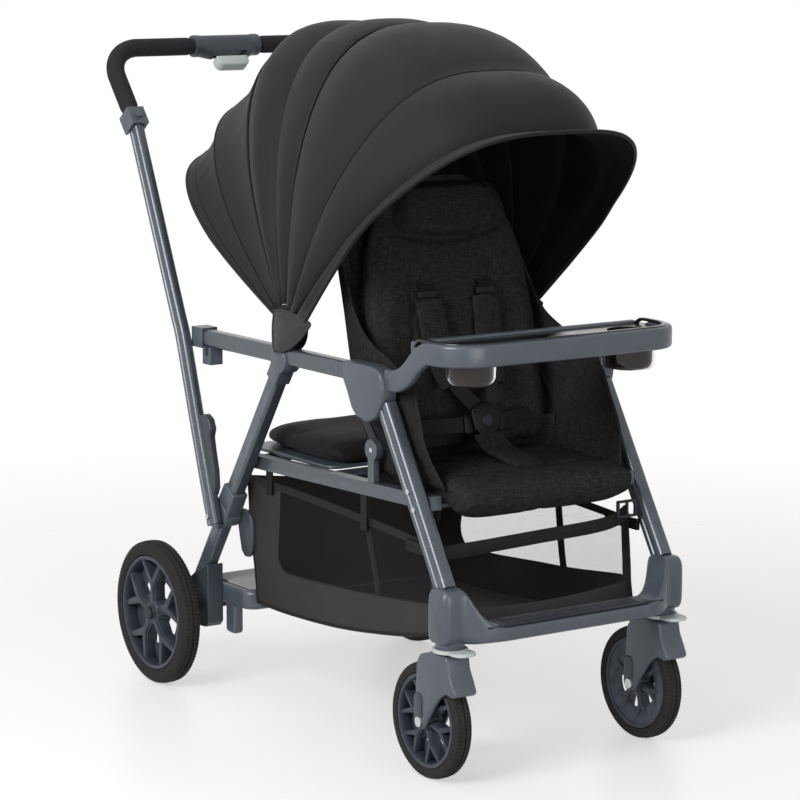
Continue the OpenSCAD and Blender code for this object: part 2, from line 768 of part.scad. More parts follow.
// Soft goods
function pad_ring(y, z, a, b, n) = [for (i = [0:ring_steps - 1]) let (t = full_turn * i / ring_steps)
  [a * power(cos(t), n), y, z + b * power(sin(t), n)]];
module seat_pad() color(cloth) place() loft([for (s = seat_shares)
  let (h = s[1] * roll_h, top = pad_z + seat_t * (1 - crown_share + crown_share * s[1]) - h / 2)
  pad_ring(seat_front_y + s[0] * (seat_rear_y - seat_front_y),
    s[0] < roll_end_share ? top : max(top, pad_z + h / 2), seat_half_w * s[2], h / 2, seat_round)]);
module bench_pan() color(slate) place() translate([0, (bench_front_y + bench_rear_y) / 2, pad_z])
  linear_extrude(pan_t)
    rrect(2 * (bench_half_w + tube_round), bench_rear_y - bench_front_y - 2 * tube_round, deck_round);
module bench_pad() color(cloth) place() loft([for (s = bench_shares) let (h = s[1] * bench_t)
  pad_ring(bench_front_y + s[0] * (bench_rear_y - bench_front_y), pad_z + pan_t + seat_fit + h / 2,
    bench_half_w * s[2], h / 2, bench_round)]);
// Backrest pieces stand in a frame with z up along the back and y to the rear
module lean() translate([0, back_y, back_z]) rotate([-back_lean, 0, 0]) children();
// A ring across the backrest: c across, s to the rear; its front side rises into bolsters
function back_ring(v, a, b) = [for (i = [0:ring_steps - 1])
  let (t = -full_turn * i / ring_steps, c = power(cos(t), back_round), s = power(sin(t), back_round),
    side = bolster * pow(c, 4) * min(1, a / back_half_w))
  [a * c, s > 0 ? s * back_t / 2 : s * (b - back_t / 2 + side), v]];
module backrest_pad() color(cloth) place() lean() loft([for (s = back_shares)
  back_ring(s[0] * back_l, back_half_w * s[2], back_t * s[1])]);
module backrest_frame() color(dark) place() {
  lean() translate([0, back_t / 2 + seat_fit + board_t, 0]) rotate([quarter_turn, 0, 0])
    linear_extrude(board_t) {
      translate([-back_half_w * board_w_share, board_low_share * back_l])
        square([2 * back_half_w * board_w_share, (board_l_share - board_low_share) * back_l]);
      translate([-arm_in - arm_t / 2, board_low_share * back_l + board_t])
        square([2 * arm_in + arm_t, 2 * (board_arm_share - board_low_share) * back_l]);
      translate([0, board_l_share * back_l]) circle(back_half_w * board_top_share);
    }
  both() difference() {
    union() {
      cross(recline, disc_r, arm_in + seat_fit, arm_in + arm_t);
      translate([arm_in + (arm_t + seat_fit) / 2, 0, 0]) bar(recline, arm_at)
        square([arm_t - seat_fit - cut, disc_r], center = true);
    }
    cross(recline, pin_r + run_fit, arm_in - cut, rail_x);
  }
}
module seat_wings() color(cloth) place() both()
  slab(outline([wing_y, wing_z], [wing_l, wing_h], wing_shares), seat_half_w + seat_fit,
    seat_half_w + seat_fit + wing_t);
module basket() color(black) place() difference() {
  slab(outline([basket_rear_y, basket_z], [basket_l, basket_h], basket_shares), -basket_half_w, basket_half_w);
  slab(outline([basket_rear_y - basket_t, basket_z], [basket_l - 2 * basket_t, basket_h - basket_t],
    basket_in_shares), basket_t - basket_half_w, basket_half_w - basket_t);
}
function rim_z(y) = basket_z - basket_h * rim_drop_share * (basket_rear_y - y) / basket_l;
function rail_z(y) = let (s = (y - rail_front_y) / (rail_rear_y - rail_front_y))
  rail_front_z + s * (rail_rear_z - rail_front_z);
module basket_clips() color(dark) place() both() {
  for (s = clip_shares) let (y = rail_front_y + s * (rail_rear_y - rail_front_y), low = rim_z(y) - clip_w)
    translate([basket_half_w + seat_fit, y - clip_w / 2, low])
      cube([clip_t, clip_w, rail_z(y) - rail_h / 2 - 2 * seat_fit - low]);
  translate([basket_half_w + seat_fit, leg_low_y + strap_tab_l / 2, rim_z(0) - clip_w])
    cube([leg_x - side_w / 2 - basket_half_w - 2 * seat_fit, strap_tab_l, clip_w]);
}

// Handle
module top_frame() translate([0, collar_y, collar_z]) rotate([atan2(top_dir[1], top_dir[0]), 0, 0]) children();
// The bends are thinner than the straights, which run into them by one overrun
module u_tube(r) {
  both() {
    translate([handle_x, -handle_w, 0]) rotate([-quarter_turn, 0, 0])
      cylinder(r = r, h = top_l - bend_r + handle_w + cut);
    translate([handle_x - bend_r, top_l - bend_r, 0]) rotate_extrude(angle = quarter_turn)
      translate([bend_r, 0]) circle(r - bend_thin);
  }
  translate([bend_r - handle_x - cut, top_l, 0]) rotate([0, quarter_turn, 0])
    cylinder(r = r, h = 2 * (handle_x - bend_r + cut));
}
module handle_side(grow) let (r = handle_d / 2 + grow, low = pivot - handle_dir * handle_d / 2,
  mid = (handle_dir + knee_dir) / norm(handle_dir + knee_dir))
  slab([beside(low, handle_dir, r), beside(knee, mid, r), beside(collar, knee_dir, r),
    beside(collar, knee_dir, -r), beside(knee, mid, -r), beside(low, handle_dir, -r)],
    handle_x - handle_w / 2 - grow, handle_x + handle_w / 2 + grow);
module handle_bar() color(slate) place() difference() {
  union() {
    both() handle_side(0);
    top_frame() u_tube(grip_r);
  }
  both() cross(pivot, pin_r + run_fit, handle_x - handle_w, handle_x + handle_w);
}
module handle_collars() color(slate) place() both() difference() {
  top_frame() {
    translate([handle_x, collar_mid, 0])
      cube([handle_w + 4 * fitting_wall, collar_l, handle_d + 2 * fitting_wall], center = true);
    translate([handle_x, collar_mid, handle_d / 2 + fitting_wall - cut]) cylinder(r = knob_r, h = knob_r);
  }
  handle_side(seat_fit);
  top_frame() u_tube(grip_r + seat_fit);
}
module foam_grips() color(black) place() top_frame() difference() {
  u_tube(foam_r);
  u_tube(grip_r + seat_fit);
  translate([-handle_x - 2 * foam_r, -4 * foam_r, -2 * foam_r])
    cube([2 * handle_x + 4 * foam_r, 4 * foam_r + collar_end + seat_fit, 4 * foam_r]);
  translate([0, top_l, 0]) cube([housing_l + 2 * seat_fit, 4 * foam_r, 4 * foam_r], center = true);
}
module handle_housing() color(slate) place() top_frame() difference() {
  union() {
    for (x = [-housing_l / 2, housing_l / 2 - housing_ring_l])
      translate([x, top_l, 0]) rotate([0, quarter_turn, 0]) cylinder(r = housing_r, h = housing_ring_l);
    translate([cut - housing_l / 2, top_l, 0]) rotate([0, quarter_turn, 0])
      cylinder(r = housing_r * housing_core_share, h = housing_l - 2 * cut);
    translate([0, top_l, 0]) linear_extrude(housing_d * housing_t_share, center = true)
      polygon([for (p = housing_shares) [p[0] * housing_l, p[1] * (housing_low - top_l)]]);
  }
  u_tube(grip_r + seat_fit);
  translate([0, housing_low + (neck_l + lever_travel) / 2, 0]) cube([neck_w + 2 * seat_fit,
    neck_l + lever_travel + 2 * cut, neck_t + 2 * seat_fit], center = true);
}
module release_lever() color(pale) place() top_frame() {
  translate([0, housing_low - lever_gap - lever_t / 2, 0])
    cube([lever_l, lever_t, housing_d / 2], center = true);
  translate([-neck_w / 2, housing_low - lever_gap - cut, -neck_t / 2])
    cube([neck_w, lever_gap + cut + neck_l, neck_t]);
}
function up_handle(l) = pivot + handle_dir * l;
module fold_sliders() color(dark) place() both() translate([handle_x, 0, 0]) {
  bar(up_handle(slider_start), up_handle(slider_start + slider_l)) difference() {
    translate([(seat_fit + slider_wall) / 2, 0])
      square([handle_w + seat_fit + slider_wall, handle_d + 2 * seat_fit + 2 * slider_wall], center = true);
    translate([-cut / 2, 0]) square([handle_w + 2 * seat_fit + cut, handle_d + 2 * seat_fit], center = true);
  }
  bar(up_handle(slider_start + slider_l - tab_l), up_handle(slider_start + slider_l))
    translate([0, -handle_d / 2 - seat_fit - slider_wall - tab_h / 2 + cut / 2])
      square([handle_w / 2, tab_h + cut], center = true);
}
module fold_latches() color(dark) place() both() union() {
  cross(latch_at, latch_r, latch_x, latch_x + latch_t);
  cross(latch_end, latch_r, latch_x, latch_x + latch_t);
  translate([latch_x + latch_t / 2, 0, 0]) bar(latch_at, latch_end)
    square([latch_t - cut, 2 * latch_r - 2 * cut], center = true);
}

// Rear frame
module rear_posts() color(dark) place() both() difference() {
  slab(outline(rear_axle_at, [post_l, post_l], post_shares), fitting_in, fitting_out);
  rear_leg_bar(seat_fit);
  cross(rear_axle_at, axle_r + run_fit, fitting_in - cut, fitting_out + cut);
}
module rear_axle() color(dark) place() {
  cross(rear_axle_at, axle_r, -axle_end, axle_end);
  both() {
    cross(rear_axle_at, axle_r + head_t, axle_end, axle_end + head_t);
    cross(rear_axle_at, axle_r + head_t, fitting_out + seat_fit, rear_wheel_x - rear_wheel_w / 2 - seat_fit);
  }
}
module platform() color(slate) place() {
  translate([0, deck_mid_y, deck_z]) linear_extrude(deck_h)
    rrect(2 * deck_half_w, deck_rear_y - deck_front_y, deck_round);
  both() translate([deck_half_w - block_w, block_y - block_l / 2, deck_z - block_h])
    cube([block_w, block_l, block_h + cut]);
}
module platform_grip() color(pale) place() translate([0, deck_mid_y, deck_z + deck_h])
  linear_extrude(deck_grip_t)
    rrect(2 * deck_half_w - deck_round, deck_rear_y - deck_front_y - deck_round, deck_round / 2);

// Wheels turn about x
module wheel_at(x, p) translate([x, p[0], p[1]]) rotate([0, quarter_turn, 0]) children();
module tyre(r, w, h) rotate_extrude() translate([r - h, 0]) {
  translate([h / 2, 0]) rrect(h, w, tyre_round);
  translate([h / 4, 0]) square([h / 2, w], center = true);
}
module rim(r, w, hub, bore, count, spoke) difference() {
  union() {
    rotate_extrude() translate([r - rim_t, -w * rim_w_share / 2]) square([rim_t, w * rim_w_share]);
    cylinder(r = hub, h = w, center = true);
    for (i = [0:count - 1]) rotate([0, 0, full_turn * i / count])
      translate([hub / 2, -spoke / 2, -spoke_t / 2]) cube([r - rim_t / 2 - hub / 2, spoke, spoke_t]);
  }
  cylinder(r = bore, h = 2 * w, center = true);
}
module rear_rim() place() wheel_at(rear_wheel_x, rear_axle_at) rim(rear_wheel_r - rear_tyre_h - seat_fit,
  rear_wheel_w, rear_hub_r, axle_r + run_fit, rear_spokes, rear_spoke_w);
module rear_tyre() place() wheel_at(rear_wheel_x, rear_axle_at) tyre(rear_wheel_r, rear_wheel_w, rear_tyre_h);
module front_rim() place() wheel_at(front_wheel_x, front_axle) rim(front_wheel_r - front_tyre_h - seat_fit,
  front_wheel_w, front_hub_r, bolt_r + run_fit, front_spokes, front_spoke_w);
module front_tyre() place() wheel_at(front_wheel_x, front_axle)
  tyre(front_wheel_r, front_wheel_w, front_tyre_h);
module fork() place() difference() {
  union() {
    translate([front_wheel_x, stem_y, crown_z - crown_h]) {
      cylinder(r = crown_r, h = crown_h);
      cylinder(r = stem_r, h = crown_h + stem_l);
      translate([0, 0, crown_h / 4]) cube([2 * fork_out, 2 * (crown_r - arm_gap), crown_h / 2], center = true);
    }
    for (x0 = [front_wheel_x - fork_out, front_wheel_x + fork_in])
      slab(outline([stem_y, front_wheel_r], [caster_trail, crown_z - crown_h / 2 - front_wheel_r], fork_shares),
        x0, x0 + fork_t);
    translate([front_wheel_x, 0, 0]) bar([stem_y - crown_r / 2, crown_z - crown_h / 4],
      [stem_y - fender_l, crown_z - fender_l]) square([2 * fork_in, fork_t], center = true);
  }
  cross(front_axle, bolt_r + run_fit, 0, 2 * front_wheel_x);
}
module swivel_lock() place() translate([front_wheel_x, stem_y, socket_z + lock_t / 2]) linear_extrude(lock_t)
  difference() {
    union() {
      circle(socket_r + lock_t + seat_fit);
      square([lock_w, 2 * lock_reach], center = true);
    }
    circle(socket_r + seat_fit);
  }
module axle_bolt() place() let (end = fork_out + seat_fit) {
  cross(front_axle, bolt_r, front_wheel_x - end, front_wheel_x + end);
  for (x0 = [front_wheel_x - end - head_t, front_wheel_x + end]) cross(front_axle, head_r, x0, x0 + head_t);
}
module rear_rim_left() color(dark) rear_rim();
module rear_rim_right() color(dark) flip() rear_rim();
module rear_tyre_left() color(black) rear_tyre();
module rear_tyre_right() color(black) flip() rear_tyre();
module front_rim_left() color(dark) front_rim();
module front_rim_right() color(dark) flip() front_rim();
module front_tyre_left() color(black) front_tyre();
module front_tyre_right() color(black) flip() front_tyre();
module fork_left() color(dark) fork();
module fork_right() color(dark) flip() fork();
module swivel_lock_left() color(pale) swivel_lock();
module swivel_lock_right() color(pale) flip() swivel_lock();
module axle_bolt_left() color(pale) axle_bolt();
module axle_bolt_right() color(pale) flip() axle_bolt();

// Canopy: v counts bows from the rear, u runs across, off is outside the cloth
function bow(v) = let (i = min(floor(v), len(bow_shares) - 2), f = v - i,
  b = bow_shares[i] * (1 - f) + bow_shares[i + 1] * f, s = 1 + scallop_shares[i] * sin(half_turn * f))
  [canopy_reach * b[0] * s, b[1], canopy_half_w * b[2] * s, b[3], canopy_reach * b[4]];
function canopy_point(u, v, off) = let (b = bow(v), n = b[3], reach = b[0] + off,
  t0 = asin(pow((mount_r + mount_gap) / reach, n / 2)), t = t0 + (half_turn - 2 * t0) * u,
  r = reach * power(sin(t), n), w = canopy_half_w + (b[2] - canopy_half_w) * min(1, 2 * r / reach) + off,
  lip = b[4] * max(0, 1 - r / (lip_end_share * canopy_reach)))
  [-power(cos(t), n) * w, canopy_y + r * cos(b[1]) - lip * sin(b[1]),
   canopy_z + r * sin(b[1]) + lip * cos(b[1])];
module canopy_shell(v0, v1) let (n = panel_steps * (v1 - v0), step = (v1 - v0 - 2 * seam_share) / n)
  loft([for (i = [0:round_steps]) concat(
    [for (j = [0:n]) canopy_point(i / round_steps, v0 + seam_share + j * step, 0)],
    [for (j = [n:-1:0]) canopy_point(i / round_steps, v0 + seam_share + j * step, -canopy_t)])]);
module canopy_rear() color(cloth) place() canopy_shell(0, 2);
module canopy_middle() color(cloth) place() canopy_shell(2, 4);
module canopy_front() color(cloth) place() canopy_shell(4, 7);

// Harness
function strap_ring(x, p) = [for (c = [[-1, -1], [1, -1], [1, 1], [-1, 1]])
  [x + c[0] * strap_w / 2, p[0] + c[1] * strap_t / 2, p[1]]];
module harness() color(black) place() lean() {
  both() loft([strap_ring(strap_in, buckle_at + [0, buckle_r + seat_fit]),
    strap_ring((strap_in + strap_x) / 2, (buckle_at + strap_top) / 2 - [strap_t, 0]),
    strap_ring(strap_x, strap_top)]);
  translate([0, -buckle_lead, crotch_top]) rotate([crotch_lean, 0, 0])
    translate([-strap_w / 2, -strap_t / 2, -crotch_l]) cube([strap_w, strap_t, crotch_l]);
}
module on_buckle() lean() translate([0, buckle_t / 2 - buckle_lead, buckle_rise]) rotate([quarter_turn, 0, 0])
  children();
module buckle() color(black) place() on_buckle() difference() {
  cylinder(r = buckle_r, h = buckle_t);
  translate([0, 0, buckle_t - button_t - button_travel]) cylinder(r = button_r + seat_fit, h = buckle_t);
}
module buckle_button() color(dark) place() on_buckle() translate([0, 0, buckle_t - button_t + button_proud])
  cylinder(r = button_r, h = button_t);

// Tray
module tray_plan(inset) translate([0, (tray_front_y + tray_rear_y) / 2])
  rrect(2 * (tray_half_w - inset), tray_rear_y - tray_front_y - 2 * inset, tray_round - inset);
module tray_frame() color(slate) place() {
  difference() {
    union() {
      translate([0, 0, tray_z]) linear_extrude(tray_h) tray_plan(0);
      both() slab(outline([tray_arm_y - tray_arm_l, tray_z + tray_h - tray_arm_h], tray_arm_size,
        tray_arm_shares), side_in, side_out);
    }
    translate([0, 0, tray_z + tray_floor_t]) linear_extrude(tray_h) tray_plan(tray_rim);
    both() translate([cup_x, cup_y, tray_z - cut]) cylinder(r = cup_r + cup_wall + 2 * cut, h = tray_h);
  }
  both() tongue(0);
}
module tray_insert() color(dark) place() difference() {
  translate([0, 0, tray_z + tray_floor_t + seat_fit]) linear_extrude(insert_t) tray_plan(tray_rim + seat_fit);
  both() translate([cup_x, cup_y, tray_z]) cylinder(r = cup_r + cup_wall + seat_fit, h = tray_h);
}
module cup_holders() color(smoke) place() both() translate([cup_x, cup_y, cup_top - cup_h]) difference() {
  union() {
    cylinder(r = cup_r + cup_wall, h = cup_h);
    translate([0, 0, cup_h]) cylinder(r = cup_r + cup_wall + cup_lip, h = cup_wall);
  }
  translate([0, 0, cup_wall]) cylinder(r = cup_r, h = cup_h + cut);
}

front_leg_left();
front_leg_right();
front_brackets();
armrest_left();
armrest_right();
armrest_caps();
strut_left();
strut_right();
strut_brackets();
fold_housings();
seat_frame();
footrest();
footrest_grip();
recline_brackets();
rivets();
canopy_mounts();
bench_pan();
bench_pad();
seat_pad();
seat_wings();
basket();
basket_clips();
handle_bar();
handle_collars();
foam_grips();
handle_housing();
release_lever();
fold_sliders();
fold_latches();
rear_leg_left();
rear_leg_right();
rear_axle();
rear_posts();
platform();
platform_grip();
rear_rim_left();
rear_rim_right();
rear_tyre_left();
rear_tyre_right();
front_rim_left();
front_rim_right();
front_tyre_left();
front_tyre_right();
fork_left();
fork_right();
swivel_lock_left();
swivel_lock_right();
axle_bolt_left();
axle_bolt_right();
canopy_rear();
canopy_middle();
canopy_front();
backrest_frame();
backrest_pad();
harness();
buckle();
buckle_button();
tray_frame();
tray_insert();
cup_holders();
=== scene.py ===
"""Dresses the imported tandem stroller: cloth, moulded plastic, painted tube, wheels and studio.

The fields of the sub-assemblies are in millimetres where nothing else is said.
"""

import json
import logging
import math
from collections.abc import Callable, Iterable, Sequence
from dataclasses import dataclass, field, replace
from enum import Enum
from functools import cache

import bmesh
import bpy
from bmesh.types import BMFace, BMVert
from bpy.types import ID, Material, Mesh, Modifier, Node, NodeSocket, NodeTree, Object
from mathutils import Matrix, Vector, noise

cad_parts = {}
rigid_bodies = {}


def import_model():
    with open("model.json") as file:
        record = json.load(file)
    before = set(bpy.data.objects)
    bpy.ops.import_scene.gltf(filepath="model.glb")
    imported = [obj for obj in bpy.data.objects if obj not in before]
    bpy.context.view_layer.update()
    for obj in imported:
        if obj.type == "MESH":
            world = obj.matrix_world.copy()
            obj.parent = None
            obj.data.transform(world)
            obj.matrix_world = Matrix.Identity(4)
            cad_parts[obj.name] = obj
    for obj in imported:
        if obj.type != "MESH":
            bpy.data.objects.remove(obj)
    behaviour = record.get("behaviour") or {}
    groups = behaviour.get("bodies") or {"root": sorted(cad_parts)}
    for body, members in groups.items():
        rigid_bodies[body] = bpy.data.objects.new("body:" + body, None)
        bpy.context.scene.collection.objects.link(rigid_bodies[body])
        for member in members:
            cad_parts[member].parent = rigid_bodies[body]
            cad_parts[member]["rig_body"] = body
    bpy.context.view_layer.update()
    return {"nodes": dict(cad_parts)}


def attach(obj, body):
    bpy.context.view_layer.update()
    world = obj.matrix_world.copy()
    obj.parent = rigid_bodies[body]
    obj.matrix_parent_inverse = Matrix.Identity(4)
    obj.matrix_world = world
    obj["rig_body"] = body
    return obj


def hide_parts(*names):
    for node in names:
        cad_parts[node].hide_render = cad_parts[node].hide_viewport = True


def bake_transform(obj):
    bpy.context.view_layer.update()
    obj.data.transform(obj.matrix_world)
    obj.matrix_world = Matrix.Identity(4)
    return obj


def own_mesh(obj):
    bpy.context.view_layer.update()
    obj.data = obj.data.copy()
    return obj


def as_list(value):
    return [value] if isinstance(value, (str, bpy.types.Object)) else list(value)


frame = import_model()
MM = 0.001
ORIGIN_Y = 434.18
TURN = 2 * math.pi
WELD = 1e-5
ACROSS = Vector((1, 0, 0))
UP = Vector((0, 0, 1))
GRAIN_BUMP = 0.0006
THREAD_BUMP = 0.0004
MOTTLE = (0.93, 1.07)
log = logging.getLogger("stroller")

Point2 = tuple[float, float]
Point3 = tuple[float, float, float]
Outline = tuple[Point2, ...]
Table = tuple[tuple[float, ...], ...]
Placer = Callable[[float, float], Vector]


def at(x: float, y: float, z: float) -> Vector:
    """Turns millimetres counted from the front axle into the shared frame in metres."""
    return Vector((x * MM, (y - ORIGIN_Y) * MM, z * MM))


def upright(x: float, outline: Iterable[Point2]) -> list[Vector]:
    """Stands an outline of (y, z) in millimetres up at a station across."""
    return [at(x, y, z) for y, z in outline]


def metres(pairs: Iterable[Point2]) -> list[Point2]:
    """Turns pairs of millimetres into metres."""
    return [(a * MM, b * MM) for a, b in pairs]


def circle(radius: float, sides: int, centre: Point2 = (0.0, 0.0)) -> list[Point2]:
    """A ring of points round a centre."""
    turns = [TURN * i / sides for i in range(sides)]
    return [(centre[0] + radius * math.cos(t), centre[1] + radius * math.sin(t)) for t in turns]


def mix(a: float, b: float, t: float) -> float:
    """Blends two numbers."""
    return a + (b - a) * t


def ease(t: float) -> float:
    """Smooth step between 0 and 1."""
    t = min(1.0, max(0.0, t))
    return t * t * (3 - 2 * t)


def squared(turn: float, power: float) -> Point2:
    """A point of a ring that is squared off by raising its cosine and sine to a power."""
    return tuple(math.copysign(abs(k) ** power, k) for k in (math.cos(turn), math.sin(turn)))


def groove(off: float, deep: float, wide: float) -> float:
    """The depth of a sewn groove at a distance from its line."""
    return deep * math.exp(-((off / wide) ** 2))


def along(table: Sequence[Sequence[float]], t: float) -> list[float]:
    """Reads a table of stations.

    Args:
        table: rows whose first entry is the station, in rising order.
        t: the station to read.

    Returns:
        The other entries, blended between the two nearest rows.
    """
    for low, high in zip(table, table[1:]):
        if t <= high[0]:
            f = (t - low[0]) / (high[0] - low[0])
            return [mix(a, b, f) for a, b in zip(low[1:], high[1:])]
    return list(table[-1][1:])


def spline(points: Sequence[Vector], steps: int) -> list[Vector]:
    """Runs a smooth curve through points.

    Args:
        points: the points to pass, in order.
        steps: samples for each stretch.

    Returns:
        The sampled curve, both ends included.
    """
    ends = [points[0] * 2 - points[1], *points, points[-1] * 2 - points[-2]]
    out: list[Vector] = []
    for a, b, c, d in zip(ends, ends[1:], ends[2:], ends[3:]):
        for i in range(steps):
            t = i / steps
            out.append(0.5 * (2 * b + (c - a) * t + (2 * a - 5 * b + 4 * c - d) * t ** 2
                              + (3 * b - a - 3 * c + d) * t ** 3))
    return [*out, points[-1].copy()]


class Side(Enum):
    """The two sides of the stroller; left is towards +X."""

    LEFT = 1
    RIGHT = -1

    @property
    def word(self) -> str:
        """The word used in node and body names."""
        return self.name.lower()


class Slot(Enum):
    """The record's material slots."""

    PAINT = "frame_paint"
    SLATE = "slate_plastic"
    DARK = "dark_plastic"
    PALE = "pale_plastic"
    SMOKE = "smoke_plastic"
    FOAM = "foam"
    TYRE = "tyre"
    STEEL = "steel"
    CHARCOAL = "charcoal_cloth"
    HEATHER = "heather_cloth"
    BLACK = "black_cloth"


class Graph:
    """A node tree with short ways to add and join nodes."""

    def __init__(self, tree: NodeTree) -> None:
        """Keeps the tree that nodes go into."""
        self.tree = tree

    def add(self, kind: str, inputs: dict | None = None, **values: object) -> Node:
        """Adds a node.

        Args:
            kind: the node's type.
            inputs: socket values or sockets to link, by socket name or number.
            values: the node's own settings.

        Returns:
            The new node.
        """
        node = self.tree.nodes.new(kind)
        for key, value in values.items():
            setattr(node, key, value)
        self.fill(node, inputs or {})
        return node

    def fill(self, node: Node, inputs: dict) -> None:
        """Links or sets several sockets of a node, by socket name or number."""
        for key, value in inputs.items():
            self.put(node.inputs[key], value)

    def put(self, socket: NodeSocket, value: object) -> None:
        """Links a socket, or sets its plain value.

        Args:
            socket: the socket that takes the value.
            value: another node's socket, or a plain value.
        """
        if isinstance(value, NodeSocket):
            self.tree.links.new(value, socket)
        else:
            socket.default_value = value

    def find(self, kind: str) -> Node:
        """The tree's first node of a kind."""
        return next(n for n in self.tree.nodes if n.type == kind)

    def math(self, operation: str, a: object, b: object = 0.0) -> NodeSocket:
        """Adds a sum and returns its result."""
        return self.add("ShaderNodeMath", {0: a, 1: b}, operation=operation).outputs[0]

    def noise(self, point: object, scale: object, detail: float) -> NodeSocket:
        """Adds a noise pattern and returns its value."""
        inputs = {"Vector": point, "Scale": scale, "Detail": detail}
        return self.add("ShaderNodeTexNoise", inputs).outputs[0]

    def span(self, value: object, span_in: Point2, span_out: Point2) -> NodeSocket:
        """Maps one range of values to another, held at its ends.

        Args:
            value: the value to map.
            span_in: the range that it comes from.
            span_out: the range that it goes to.

        Returns:
            The mapped value.
        """
        names = ("Value", "From Min", "From Max", "To Min", "To Max")
        inputs = dict(zip(names, (value, *span_in, *span_out)))
        return self.add("ShaderNodeMapRange", inputs).outputs["Result"]

    def blend(self, share: object, a: object, b: object) -> NodeSocket:
        """Mixes two colours."""
        node = self.add("ShaderNodeMix", {"Factor": share, "A": a, "B": b}, data_type="RGBA")
        return node.outputs["Result"]

    def bump(self, height: object, strength: float, distance: float) -> NodeSocket:
        """Adds a bump and returns its normal."""
        inputs = {"Height": height, "Strength": strength, "Distance": distance}
        return self.add("ShaderNodeBump", inputs).outputs[0]


class Effects:
    """Shader groups that more than one finish uses, each built once."""

    @staticmethod
    def group(name: str, inputs: Sequence[tuple[str, str]],
              outputs: Sequence[str]) -> tuple[Graph, dict, dict]:
        """Starts a group.

        Args:
            name: the group's name.
            inputs: names and socket kinds that go in.
            outputs: names of the values that come out.

        Returns:
            The graph, the input sockets by name and the output sockets by name.
        """
        tree = bpy.data.node_groups.new(name, "ShaderNodeTree")
        for label, kind in inputs:
            tree.interface.new_socket(label, in_out="INPUT", socket_type=kind)
        for label in outputs:
            tree.interface.new_socket(label, in_out="OUTPUT", socket_type="NodeSocketFloat")
        graph = Graph(tree)
        start, end = graph.add("NodeGroupInput"), graph.add("NodeGroupOutput")
        return graph, {k: start.outputs[k] for k, _ in inputs}, {k: end.inputs[k] for k in outputs}

    @staticmethod
    @cache
    def weave() -> NodeTree:
        """Crossed threads: a height for the bump and a streaked heather tone.

        Returns:
            The group.
        """
        sockets = [("Point", "NodeSocketVector"), ("Threads", "NodeSocketFloat")]
        g, i, o = Effects.group("weave", sockets, ["Height", "Heather"])
        parts = g.add("ShaderNodeSeparateXYZ", {0: i["Point"]}).outputs
        run = g.math("ADD", parts[1], parts[2])
        counts = [g.math("MULTIPLY", c, i["Threads"]) for c in (parts[0], run)]
        waves = [g.math("SINE", g.math("MULTIPLY", c, TURN)) for c in counts]
        g.put(o["Height"], g.math("MULTIPLY", *waves))
        streaks = []
        for wide, tall in ((1.0, 0.12), (0.12, 1.0)):
            spot = g.add("ShaderNodeCombineXYZ", {0: g.math("MULTIPLY", parts[0], wide),
                                                  1: g.math("MULTIPLY", run, tall)}).outputs[0]
            streaks.append(g.noise(spot, 430.0, 3.0))
        both = g.math("MULTIPLY", g.math("ADD", *streaks), 0.5)
        g.put(o["Heather"], g.span(both, (0.36, 0.64), (0.0, 1.0)))
        return g.tree

    @staticmethod
    @cache
    def grain() -> NodeTree:
        """Fine moulded grain with a slow mottle.

        Returns:
            The group.
        """
        sockets = [("Point", "NodeSocketVector"), ("Scale", "NodeSocketFloat")]
        g, i, o = Effects.group("grain", sockets, ["Height", "Mottle"])
        g.put(o["Height"], g.noise(i["Point"], i["Scale"], 3.0))
        slow = g.noise(i["Point"], g.math("MULTIPLY", i["Scale"], 0.02), 4.0)
        g.put(o["Mottle"], g.span(slow, (0.3, 0.7), (0.0, 1.0)))
        return g.tree

    @staticmethod
    @cache
    def wear() -> NodeTree:
        """Light rubbing along raised edges.

        Returns:
            The group.
        """
        g, i, o = Effects.group("wear", [("Point", "NodeSocketVector")], ["Mask"])
        raised = g.span(g.add("ShaderNodeNewGeometry").outputs["Pointiness"], (0.51, 0.6), (0.0, 1.0))
        patchy = g.span(g.noise(i["Point"], 60.0, 5.0), (0.35, 0.65), (0.25, 1.0))
        g.put(o["Mask"], g.math("MULTIPLY", raised, patchy))
        return g.tree


@dataclass(frozen=True)
class Finish:
    """What every finish has: a name, a colour, a slot and a gloss."""

    name: str
    colour: Point3
    slot: Slot
    rough: float = 0.5

    def material(self) -> Material:
        """Builds the finish's material the first time it is asked for.

        Returns:
            The material.
        """
        found = bpy.data.materials.get(self.name)
        if found:
            return found
        made = bpy.data.materials.new(self.name)
        made.use_nodes = True
        graph = Graph(made.node_tree)
        self.shade(graph, graph.find("BSDF_PRINCIPLED"), graph.add("ShaderNodeTexCoord"))
        return made

    def shade(self, graph: Graph, shader: Node, spot: Node) -> None:
        """Fills in the shader.

        Args:
            graph: the material's tree.
            shader: its shader.
            spot: its coordinates.
        """
        raise NotImplementedError

    def tone(self, share: float) -> tuple[float, float, float, float]:
        """The colour made lighter or darker by a share."""
        return (*(min(1.0, c * share) for c in self.colour), 1.0)


